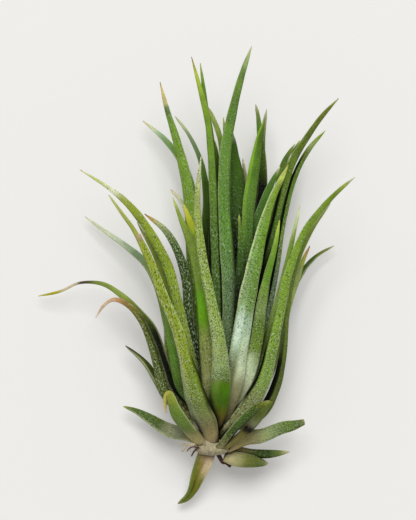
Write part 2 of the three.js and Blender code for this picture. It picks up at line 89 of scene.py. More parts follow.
def let_go():
    bpy.ops.object.select_all(action="DESELECT")


def chosen(piece):
    let_go()
    piece.select_set(True)
    bpy.context.view_layer.objects.active = piece


def finish_modifier(piece, kind, **settings):
    modifier = piece.modifiers.new(kind.title(), kind)
    for key, value in settings.items():
        setattr(modifier, key, value)
    bpy.ops.object.modifier_apply(modifier=modifier.name)


def close_skin(merge=0):
    """Merges the doubled points of the chosen piece, turns its faces outwards and shades it smooth."""
    bpy.ops.object.mode_set(mode="EDIT")
    bpy.ops.mesh.select_all(action="SELECT")
    if merge:
        bpy.ops.mesh.remove_doubles(threshold=metres(merge))
    bpy.ops.mesh.normals_make_consistent(inside=False)
    bpy.ops.object.mode_set(mode="OBJECT")
    bpy.ops.object.shade_smooth()


def stand_for(piece, node, material):
    """Puts the finished piece in the place of its plain solid."""
    piece.data.materials.append(MATERIALS[material])
    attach(piece, "root")
    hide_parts(node)


# ---- the line that a leaf follows ----
def spline(points, at):
    """Centripetal Catmull-Rom places and directions at the parameters 0..1 of at."""
    points = np.array(points, float)
    ends = np.vstack([2 * points[0] - points[1], points, 2 * points[-1] - points[-2]])
    last = len(points) - 1
    places, ways = [], []
    for t in at:
        i = min(int(t * last), last - 1)
        w = t * last - i
        p0, p1, p2, p3 = ends[i:i + 4]
        d0, d1, d2 = (max(np.linalg.norm(b[:3] - a[:3]) ** 0.5, 1e-4)
                      for a, b in ((p0, p1), (p1, p2), (p2, p3)))
        m1 = ((p1 - p0) / d0 - (p2 - p0) / (d0 + d1) + (p2 - p1) / d1) * d1
        m2 = ((p2 - p1) / d1 - (p3 - p1) / (d1 + d2) + (p3 - p2) / d2) * d1
        c2 = -3 * p1 + 3 * p2 - 2 * m1 - m2
        c3 = 2 * p1 - 2 * p2 + m1 + m2
        places.append(p1 + m1 * w + c2 * w * w + c3 * w ** 3)
        ways.append(m1 + 2 * c2 * w + 3 * c3 * w * w)
    return np.array(places), np.array(ways)


def unit(rows):
    return rows / np.linalg.norm(rows, axis=1)[:, None]


def stops(table, at):
    """Values between the (place, value) stops of table, at the places of at."""
    where = [s[0] for s in table]
    values = np.array([np.atleast_1d(s[1]) for s in table], float)
    return np.stack([np.interp(at, where, values[:, k]) for k in range(values.shape[1])], 1)


def colour_stops(table, at):
    return stops([(place, linear(code)) for place, code in table], at)


def tinted(colours, code, share):
    """The colours drawn towards code by share, row by row."""
    share = share[:, None]
    return colours * (1 - share) + np.array(linear(code)) * share


def graded(colours, dull):
    """The colours as the skin shows them: green skin keeps little blue, pale and dry skin keeps most."""
    green = 1 - colours.min(1) / colours.max(1)
    pale = np.clip((PALE_BELOW - green) / GRADE_SOFTNESS, 0, 1)
    dry = np.clip((colours[:, 0] / colours[:, 1] - 1) / GRADE_SOFTNESS, 0, 1)
    share = np.maximum(np.maximum(pale, dry), dull)[:, None]
    grade = np.array(SKIN_GRADE) * (1 - share) + np.array(DULL_GRADE) * share
    return np.minimum(colours * grade, WHITEST)


# ---- where the leaves lie ----
# name, finish, the way the rounded back looks at the sheath and at the tip (degrees about Y:
# 0 is up, 90 is towards +X, 180 is down), climb of the sheath where it isn't the usual one,
# and [(x, y, z, width)] from the sheath to the tip.
LEAVES = [
    ("front_1", "sage", (0, -5), None,
     [(4.9, -22, 24.9, 4), (4.9, -18, 26, 3.5), (4.6, -13.5, 27, 2.9), (3, -4.8, 28.8, 2.1),
      (1.4, 3.2, 30.4, 1.8), (0.4, 11.2, 31.8, 1.5), (0.3, 16, 32.6, 1.1), (1, 23.4, 33.8, 0.45)]),
    ("front_2", "sage", (-22, -35), None,
     [(2.2, -29.9, 18.2, 4.4), (0.9, -27, 21.2, 5), (-0.1, -24.2, 23.4, 5), (-1, -20.8, 24.7, 4.2),
      (-2, -16.8, 25.5, 3.3), (-3.7, -10.8, 26.4, 2.6), (-6.6, -3.8, 27, 2.3), (-9, 2.8, 27.6, 1.8),
      (-10.8, 6.6, 27.9, 1.4), (-11.3, 8, 28, 0.9)]),
    ("front_3", "fresh", (28, 35), 8.6,
     [(11.4, -24.6, 21.4, 4), (13.6, -20.4, 22.5, 3.4), (15, -14.8, 23.2, 2.8), (17.2, -4.8, 24.2, 2.2),
      (18.4, 0.6, 24.6, 1.8), (21.7, 9, 25.4, 1.35), (25.5, 14, 26, 1.15), (28.5, 17.1, 26.4, 0.85),
      (31.4, 19.5, 26.5, 0.45)]),
    ("front_4", "sage", (10, 25), 7.6,
     [(7.2, -22, 21, 4.2), (8.6, -14.5, 23, 3.6), (10.2, -4.8, 25, 3.5), (11.4, 1.2, 26.2, 3.1),
      (13.2, 9.2, 27.6, 2.3), (15.2, 15.6, 28.8, 1.5), (16.6, 18.6, 29.4, 1.2), (18.2, 21.8, 30, 0.45)]),
    ("front_5", "fresh", (30, 25), None,
     [(9.6, -21.8, 18.4, 3.2), (12.2, -12.8, 20.2, 3), (13, -6.6, 21.2, 2.6), (14.2, 0, 22.4, 1.7),
      (15.6, 5.4, 23.4, 1.1), (16.6, 10.8, 24.2, 0.45)]),
    ("front_6", "fresh", (-5, -15), None,
     [(2.5, -22, 20.8, 3), (1.7, -12.8, 22, 2.6), (1, -4.8, 22.8, 2), (-0.2, 3.2, 23.4, 1.9),
      (-1.4, 7.6, 23.8, 1.7), (-3, 11.4, 24.2, 0.9), (-4.5, 15.4, 24.6, 0.45)]),
    ("front_7", "olive", (-20, -35), None,
     [(0.2, -21.6, 19, 2.6), (-1.6, -14.4, 20.6, 2.4), (-3.6, -5.8, 21.6, 2.2), (-5.6, 1.8, 22.2, 2.2),
      (-8.4, 7.4, 22.8, 1.9), (-11.4, 11.9, 23.2, 1.7), (-14.6, 15.4, 23.4, 1.3), (-18, 18, 23.4, 0.7),
      (-22.8, 21, 23.4, 0.42)]),
    ("base_1", "deep", (25, 30), 4.2,
     [(7.6, -30.4, 20.4, 1.9), (9.6, -28.4, 23, 2), (12, -26.2, 24.6, 1.5), (14.4, -25, 25, 0.6)]),
    ("base_2", "olive", (40, 40), 2.8,
     [(9, -31.8, 16.8, 2), (11.2, -29.6, 18.2, 2.4), (13, -27.4, 19.2, 2), (14.6, -25.2, 20.2, 1.2)]),
    ("base_3", "deep", (-30, -40), 2.6,
     [(-0.9, -31.2, 17.2, 3), (-2, -30, 19.4, 3.6), (-3.1, -28.6, 21.2, 3.5), (-4.1, -26.8, 22.4, 3),
      (-4.8, -24.7, 22.9, 2.2), (-5.4, -23.5, 22.2, 1.7), (-6.1, -24.8, 20.8, 1.1),
      (-6, -27.2, 19.2, 0.5)]),
    ("heart_1", "deep", (5, 5), None,
     [(5.6, -21.5, 16.6, 3), (6.6, -12, 18.6, 3), (6.8, -2.8, 20, 3.1), (6.2, 5.2, 21, 2.9),
      (5.6, 17.2, 22, 2.4), (5.9, 25, 22.5, 2.2), (7.3, 32.8, 22.9, 1.8), (8.9, 39.2, 23.2, 1.3),
      (9.9, 42.4, 23.3, 0.95), (11, 45.5, 23.4, 0.42)]),
    ("heart_2", "fresh", (-5, -15), None,
     [(4.1, -19.5, 14.9, 2.2), (4.2, -4.8, 17, 1.9), (3.7, 9.2, 19, 1.7), (3.4, 19.2, 19.8, 1.7),
      (2.7, 29.2, 20.4, 1.4), (1.4, 35.2, 20.7, 1.1), (-0.8, 43.4, 21, 0.42)]),
    ("heart_3", "fresh", (-5, -10), None,
     [(3.4, -17.6, 17.4, 2.3), (2.2, -4.8, 19, 2), (0.9, 2.6, 19.7, 1.7), (-0.8, 9.6, 20.3, 1.4),
      (-2.3, 14, 20.7, 0.6)]),
    ("heart_4", "deep", (15, 20), 4.6,
     [(6.3, -21.5, 18.4, 2), (7.8, -16, 19.9, 1.9), (8.4, -6, 21.6, 1.8), (8.9, 4.6, 22.3, 1.3),
      (8.7, 10.2, 22.6, 0.6), (8.6, 11.8, 22.7, 0.42)]),
    ("heart_5", "fresh", (20, 20), None,
     [(6.4, -19, 13.8, 2.5), (9, -8, 16.4, 2.6), (10.2, 6, 17.8, 2.6), (10.6, 14.4, 18.2, 2.7),
      (11.6, 21.2, 18.4, 2.4), (12.6, 27.2, 18.5, 1.4), (13.7, 31.2, 18.5, 0.42)]),
    ("heart_6", "deep", (10, 10), None,
     [(5.8, -17, 11.8, 2.3), (8.2, -2, 14.4, 2.4), (8.2, 13, 15.4, 2.6), (8.2, 20, 15.6, 2.5),
      (7.6, 25, 15.7, 1.6), (7.4, 28.2, 15.8, 0.5)]),
    ("heart_7", "deep", (-10, -10), None,
     [(3, -17, 13.6, 2.2), (3.1, -2, 14.4, 1.6), (3.4, 12, 16, 1.5), (3, 24, 17, 1.3), (2, 34, 17.6, 0.9),
      (0.9, 42.2, 18, 0.42)]),
    ("heart_8", "deep", (170, 175), None,
     [(3.9, -15.5, 10.6, 1.6), (5.2, 4, 12.6, 1.7), (5.6, 18, 13.4, 1.5), (4.9, 27.2, 13.7, 1.1),
      (3.4, 31.6, 13.8, 0.9), (2.5, 33.5, 13.8, 0.42)]),
    ("heart_9", "deep", (175, 175), None,
     [(3, -14.8, 9.8, 1.3), (4, 6, 10.6, 1.3), (4.6, 20, 10.8, 1.1), (4.1, 24.4, 10.8, 0.9),
      (3.7, 26.8, 10.8, 0.42)]),
    ("heart_10", "deep", (5, 0), None,
     [(5.3, -16, 14.4, 1.4), (6.1, 0, 17, 1.4), (6.2, 14, 18.9, 1.5), (6.2, 24, 19.4, 1.2),
      (5.5, 31.3, 19.6, 0.42)]),
    ("heart_11", "pale", (175, 175), None,
     [(6.4, -15.5, 10.2, 1.5), (9.2, 0, 13.2, 1.5), (10, 12, 14, 1.4), (10, 18, 14.2, 1.1),
      (9.4, 23.1, 14.3, 0.42)]),
    ("left_1", "olive", (-52, -50), None,
     [(-6.1, -23.2, 15.4, 3.6), (-7.5, -18.2, 15.9, 2.9), (-8.9, -13.4, 16.2, 2.3),
      (-11.1, -8.5, 16.2, 1.7), (-13.7, -5.7, 15.6, 1.15), (-16.4, -4.7, 14.2, 0.8), (-18.5, -6, 12.6, 0.6),
      (-19.9, -8.1, 11.6, 0.42)]),
    ("left_2", "deep", (-58, -40), None,
     [(-4.4, -22, 11.6, 4.2), (-6.3, -17.4, 12.6, 3.2), (-8.5, -11.2, 13, 2.8), (-11.5, -7.2, 12.9, 1.9),
      (-15, -3.8, 12, 1.3), (-18.6, -1.6, 10.8, 0.85), (-23.4, -1.4, 8.8, 0.5), (-27.2, -3.1, 6.6, 0.55),
      (-31.4, -4, 4, 0.42)]),
    ("left_3", "fresh", (-30, -35), None,
     [(-3.2, -22, 18, 2.1), (-4.7, -15, 19, 2), (-6.1, -8, 19.8, 1.8), (-8.1, -0.8, 20.4, 1.5),
      (-11.9, 8.4, 21, 1), (-14.9, 12.7, 21.2, 0.7), (-17.2, 15.9, 21.2, 0.42)]),
    ("left_4", "deep", (-15, -30), None,
     [(1, -19, 16.2, 2.1), (-1.2, -10.8, 17.2, 1.9), (-2, -0.8, 17.8, 1.9), (-3.6, 4.8, 18.2, 1.8),
      (-6.2, 9.2, 18.4, 1.3), (-10, 12.2, 18.4, 0.45)]),
    ("left_5", "deep", (-35, -35), None,
     [(-1.4, -19.5, 15.6, 1.9), (-3.6, -10.4, 17, 1.7), (-5.8, -2, 17.8, 1.3), (-8.2, 4.2, 18.2, 1),
      (-11.6, 10.5, 18.4, 0.42)]),
    ("left_6", "fresh", (-20, -25), None,
     [(1.4, -19.5, 13.9, 2.3), (-0.5, -9, 14.3, 2), (-1, 4, 14.8, 2.1), (-1.3, 14.2, 15.6, 2.4),
      (-2.2, 20.4, 16, 2.3), (-3.9, 27.2, 16.3, 1.7), (-5.8, 33.4, 16.5, 1), (-7.1, 38.4, 16.6, 0.42)]),
    ("left_7", "fresh", (200, 190), None,
     [(1.8, -17, 9.2, 2.2), (0.6, -4, 8.8, 2.2), (-0.2, 12, 8.4, 2.4), (-2.4, 22, 7.6, 1.6),
      (-6, 27.1, 6.8, 1.15), (-10.4, 30.9, 5.8, 0.42)]),
    ("left_8", "deep", (195, 185), None,
     [(2.2, -15.8, 11.6, 1.6), (1.6, 4, 11.9, 1.8), (2.1, 16, 12.2, 1.5), (1, 22.8, 12.3, 1),
      (-1.4, 28.2, 12.3, 0.7), (-4, 31.7, 12.3, 0.42)]),
    ("left_9", "deep", (225, 200), None,
     [(-0.8, -19.5, 9.4, 3), (-4.4, -9.5, 9, 2.1), (-7.6, -2, 8, 1.8), (-10, 2.4, 7.2, 1.6),
      (-14.2, 6.1, 6, 1.2), (-18.2, 8.9, 4.8, 0.8), (-22, 11.7, 3.6, 0.42)]),
    ("left_10", "deep", (250, 235), 7.6,
     [(-6, -24, 9, 3.8), (-8, -20.6, 8.8, 2.8), (-9.8, -17.8, 8.6, 1.8), (-11.8, -15.8, 7.8, 1),
      (-13.9, -14.2, 7, 0.42)]),
    ("left_11", "deep", (230, 220), 1.2,
     [(-2.4, -31.8, 8.6, 2.8), (-5.6, -30.9, 7.4, 3), (-9.2, -28.7, 6.2, 2.4), (-12, -27.1, 5.4, 1.2),
      (-14.3, -26.3, 4.8, 0.42)]),
    ("left_12", "pale", (190, 190), None,
     [(2.6, -14.4, 12.9, 1.3), (1.1, -2, 12.8, 1.2), (-0.7, 9, 12.6, 1), (-3, 15, 12.6, 0.75),
      (-4.8, 17, 12.6, 0.5)]),
    ("right_1", "olive", (30, 40), None,
     [(8.2, -19.6, 15.8, 2.4), (11.4, -8, 17.6, 2.2), (13.8, 2.8, 18.8, 2), (15.6, 10, 19.4, 1.8),
      (17.3, 17, 20, 1.9), (19.3, 23, 20.4, 1.9), (22.6, 28.4, 20.8, 1.3), (25.2, 32, 21.2, 1),
      (28.2, 35.2, 21.6, 0.42)]),
    ("right_2", "fresh", (45, 45), None,
     [(9.6, -19.2, 13.9, 2.3), (13.4, -10.4, 15.6, 2), (15.8, 0.2, 16.6, 1.5), (17.5, 11.2, 17.2, 1.2),
      (19.8, 20.2, 17.6, 1.4), (22.7, 25.6, 17.8, 1.15), (25.6, 28.8, 18, 0.45)]),
    ("right_3", "fresh", (35, 35), None,
     [(11.4, -19.6, 16.6, 2.2), (15, -10, 18.8, 1.9), (17.2, -1.6, 20, 1.5), (19.1, 6.8, 21, 1),
      (20.7, 14, 21.6, 0.42)]),
    ("right_4", "deep", (60, 40), 3,
     [(12.8, -27.6, 15.6, 3.4), (15.6, -23, 16.6, 3), (17.2, -16.8, 17.4, 2.2), (18.1, -7, 18.4, 1.7),
      (19.6, 1.2, 19.4, 1.4), (23, 9.2, 20.4, 1), (26.6, 14.2, 21, 0.45)]),
    ("right_5", "deep", (62, 50), None,
     [(12.6, -22.4, 12.6, 3.4), (16.4, -14, 13.9, 2.4), (18.7, -5.2, 15.2, 1.6), (20.2, -0.8, 15.6, 1.3),
      (21.3, 3, 15.8, 1), (22.6, 5.7, 16, 0.42)]),
    ("right_6", "fresh", (125, 150), 3.6,
     [(12.8, -21.8, 8.6, 4.4), (16.3, -14, 7.8, 3.6), (18.8, -4, 6.6, 1.5), (20.6, -0.4, 5.9, 1.2),
      (22.2, 2.1, 5.2, 1), (24.4, 4.2, 4.4, 0.7), (27.4, 5.9, 3.4, 0.42)]),
    ("right_7", "deep", (25, 25), None,
     [(7.2, -17, 12.5, 2.3), (10.6, -3, 14.2, 2.3), (11.8, 8.6, 14.9, 2.2), (13.6, 14.8, 15.2, 1.9),
      (15.2, 18.8, 15.4, 1.2), (16.6, 21.5, 15.6, 0.42)]),
    ("right_8", "deep", (150, 165), None,
     [(7, -17, 10.9, 2.1), (12.6, -2, 12, 2), (15.8, 14, 12.4, 1.7), (17.6, 22.6, 12.4, 1.2),
      (19.6, 26.1, 12.4, 0.42)]),
    ("right_9", "deep", (150, 165), None,
     [(8, -18, 9.2, 2), (14.8, -2, 9.6, 1.8), (17.6, 13, 9.6, 1.4), (19.4, 24, 9.6, 0.9),
      (20.6, 26.8, 9.6, 0.42)]),
    ("right_10", "deep", (170, 170), None,
     [(5.8, -15, 9.8, 1.9), (10.6, 3, 12.3, 1.9), (13.3, 17, 12.9, 1.9), (13, 26, 13.1, 1.5),
      (12.4, 32, 13.2, 0.8), (12, 34, 13.2, 0.42)]),
    ("right_11", "deep", (165, 165), None,
     [(6.6, -14, 8, 1.7), (11.2, 7, 9.8, 1.7), (12.9, 21.2, 10.4, 1.5), (13.4, 28.8, 10.6, 1.1),
      (14.1, 33, 10.7, 0.42)]),
    ("right_12", "pale", (40, 30), 2.2,
     [(10.4, -32.4, 12.6, 2.8), (13.2, -32, 13.2, 2.9), (17.2, -30.4, 12.8, 2.5), (19.6, -29.9, 12, 2),
      (21.4, -29.3, 11.4, 1.1)]),
    ("right_13", "pale", (20, 10), -1,
     [(5.6, -36, 11.2, 2.2), (8.1, -36.7, 11, 2.9), (11.1, -37.1, 10, 2.7), (14.1, -37.6, 8.8, 0.7)]),
    ("right_14", "deep", (60, 50), 0.2,
     [(8.2, -34.9, 9.8, 1.5), (11.1, -35.5, 9.2, 1.7), (14.5, -35.7, 8.8, 1.7), (18.4, -35.3, 8.2, 0.5)]),
    ("base_4", "olive", (180, 200), -3,
     [(2.3, -35, 10.4, 3.2), (1.7, -36.9, 9.6, 3.6), (0.4, -40.1, 7.6, 2.8), (-0.6, -42.8, 5.6, 2.1),
      (-1.8, -44.6, 4, 1.4), (-3.4, -45.6, 3, 0.5)]),
    ("under_1", "sage", (185, 180), None,
     [(1.6, -23, 2.1, 5.2), (0.6, -15, 0.75, 4), (0, -4, 0.75, 2.8), (-0.6, 5, 0.55, 2.2),
      (-1.4, 13, 1.2, 1.5), (-2.4, 19, 2.4, 0.5)]),
    ("under_2", "fresh", (175, 175), 3.6,
     [(6.8, -22.5, 2.3, 4.6), (8, -14, 0.75, 3.6), (9, -2, 0.75, 2.7), (10, 6, 0.55, 2.1),
      (11, 13, 1.2, 1.5), (12.4, 20, 2.6, 0.5)]),
    ("under_3", "olive", (215, 200), 4.4,
     [(-3.8, -22.5, 3.8, 4.6), (-4.8, -15, 1.2, 3.4), (-5.4, -8, 0.7, 2.6), (-6.2, -1, 0.8, 1.8),
      (-7.6, 5, 1.6, 0.5)]),
    ("under_4", "fresh", (145, 160), 8.6,
     [(11.2, -22, 4, 4.4), (12.6, -15, 1.2, 3.4), (13.6, -8, 0.7, 2.6), (14.8, 0, 0.8, 1.8),
      (16.2, 7, 1.8, 0.5)]),
    ("under_5", "deep", (180, 180), None,
     [(3.9, -19, 5.4, 3.4), (4.6, -8, 3.9, 3), (5, 3, 3.2, 2.5), (5.2, 13, 3.2, 1.9), (5.6, 22, 4.2, 0.5)]),
    ("under_6", "deep", (190, 185), None,
     [(1.4, -17.5, 7, 2.8), (-0.2, -8, 5.6, 2.4), (-1.2, -1, 4.9, 1.9), (-1.4, 6, 4.8, 0.5)]),
    ("under_7", "deep", (165, 170), None,
     [(6.6, -18, 6.6, 2.8), (10.4, -7, 5.8, 2.4), (13.2, 3, 5.4, 2), (15.8, 12, 5.6, 1.3),
      (17.6, 18, 6.2, 0.5)]),
]


# ---- the colours and scales of the leaves ----
# Colours run from the sheath's foot (0) to the tip (1). The last list is how thickly the
# silver scales lie, from 0 to 1.
FINISHES = {
    "sage": ("silver_scaled_leaf",
             [(0, "8a7d50"), (0.12, "76783a"), (0.3, "7c9142"), (0.7, "85a04c"), (0.94, "93aa58"),
              (1, "cdd29a")],
             [(0, 0.3), (0.3, 0.5), (0.7, 0.42), (1, 0.25)]),
    "olive": ("silver_scaled_leaf",
              [(0, "857c4c"), (0.15, "6a6e2c"), (0.4, "76862c"), (0.8, "7c9034"), (1, "a4a852")],
              [(0, 0.3), (0.4, 0.42), (1, 0.3)]),
    "fresh": ("smooth_young_leaf",
              [(0, "8c8a5c"), (0.15, "5d7a34"), (0.4, "58842c"), (0.8, "649236"), (0.95, "86a84c"),
               (1, "c6d084")],
              [(0, 0.25), (0.4, 0.28), (1, 0.16)]),
    # deep: darker greens, as painted shade, for leaves inside and under the rosette
    "deep": ("shaded_leaf",
             [(0, "6c6c40"), (0.2, "3c5c24"), (0.6, "45702c"), (0.9, "54823a"), (1, "a0b060")],
             [(0, 0.2), (0.5, 0.3), (1, 0.2)]),
    "pale": ("silver_scaled_leaf",
             [(0, "a59b6f"), (0.2, "9aa476"), (0.5, "7f9a60"), (0.85, "6c8c50"), (1, "6c7c48")],
             [(0, 0.25), (0.5, 0.55), (1, 0.35)]),
}

RIM_CODE, RIM_SHARE, INNER_RIM_SHARE = "d0d8b0", 0.5, 0.15  # the thin pale edge of a blade: partly the leaf's own paler margin, partly a painted highlight, kept faint on inner leaves that lie in shade
RIM_SLOPE, RIM_START, RIM_RATE = 6, 5, 5  # the rim fills the outer sixth, past the first fifth of a leaf
SKIN_GRADE = (1.09, 1.04, 0.54)  # green skin's share of the red, green and blue of its stops
DULL_GRADE = (1.02, 1.0, 0.84)  # the same for pale skin, dry skin and the greyer leaves round the base
PALE_BELOW, GRADE_SOFTNESS = 0.75, 0.3  # skin less coloured than this counts as pale, by degrees
WHITEST = 0.95
TONE_RANGE, FROST_RANGE = (0.9, 1.1), (0.85, 1.15)  # leaves differ in tone and frost by these factors
DULL = ("front_4", "front_5", "base_3", "left_11", "right_12", "right_13", "right_14", "base_4")
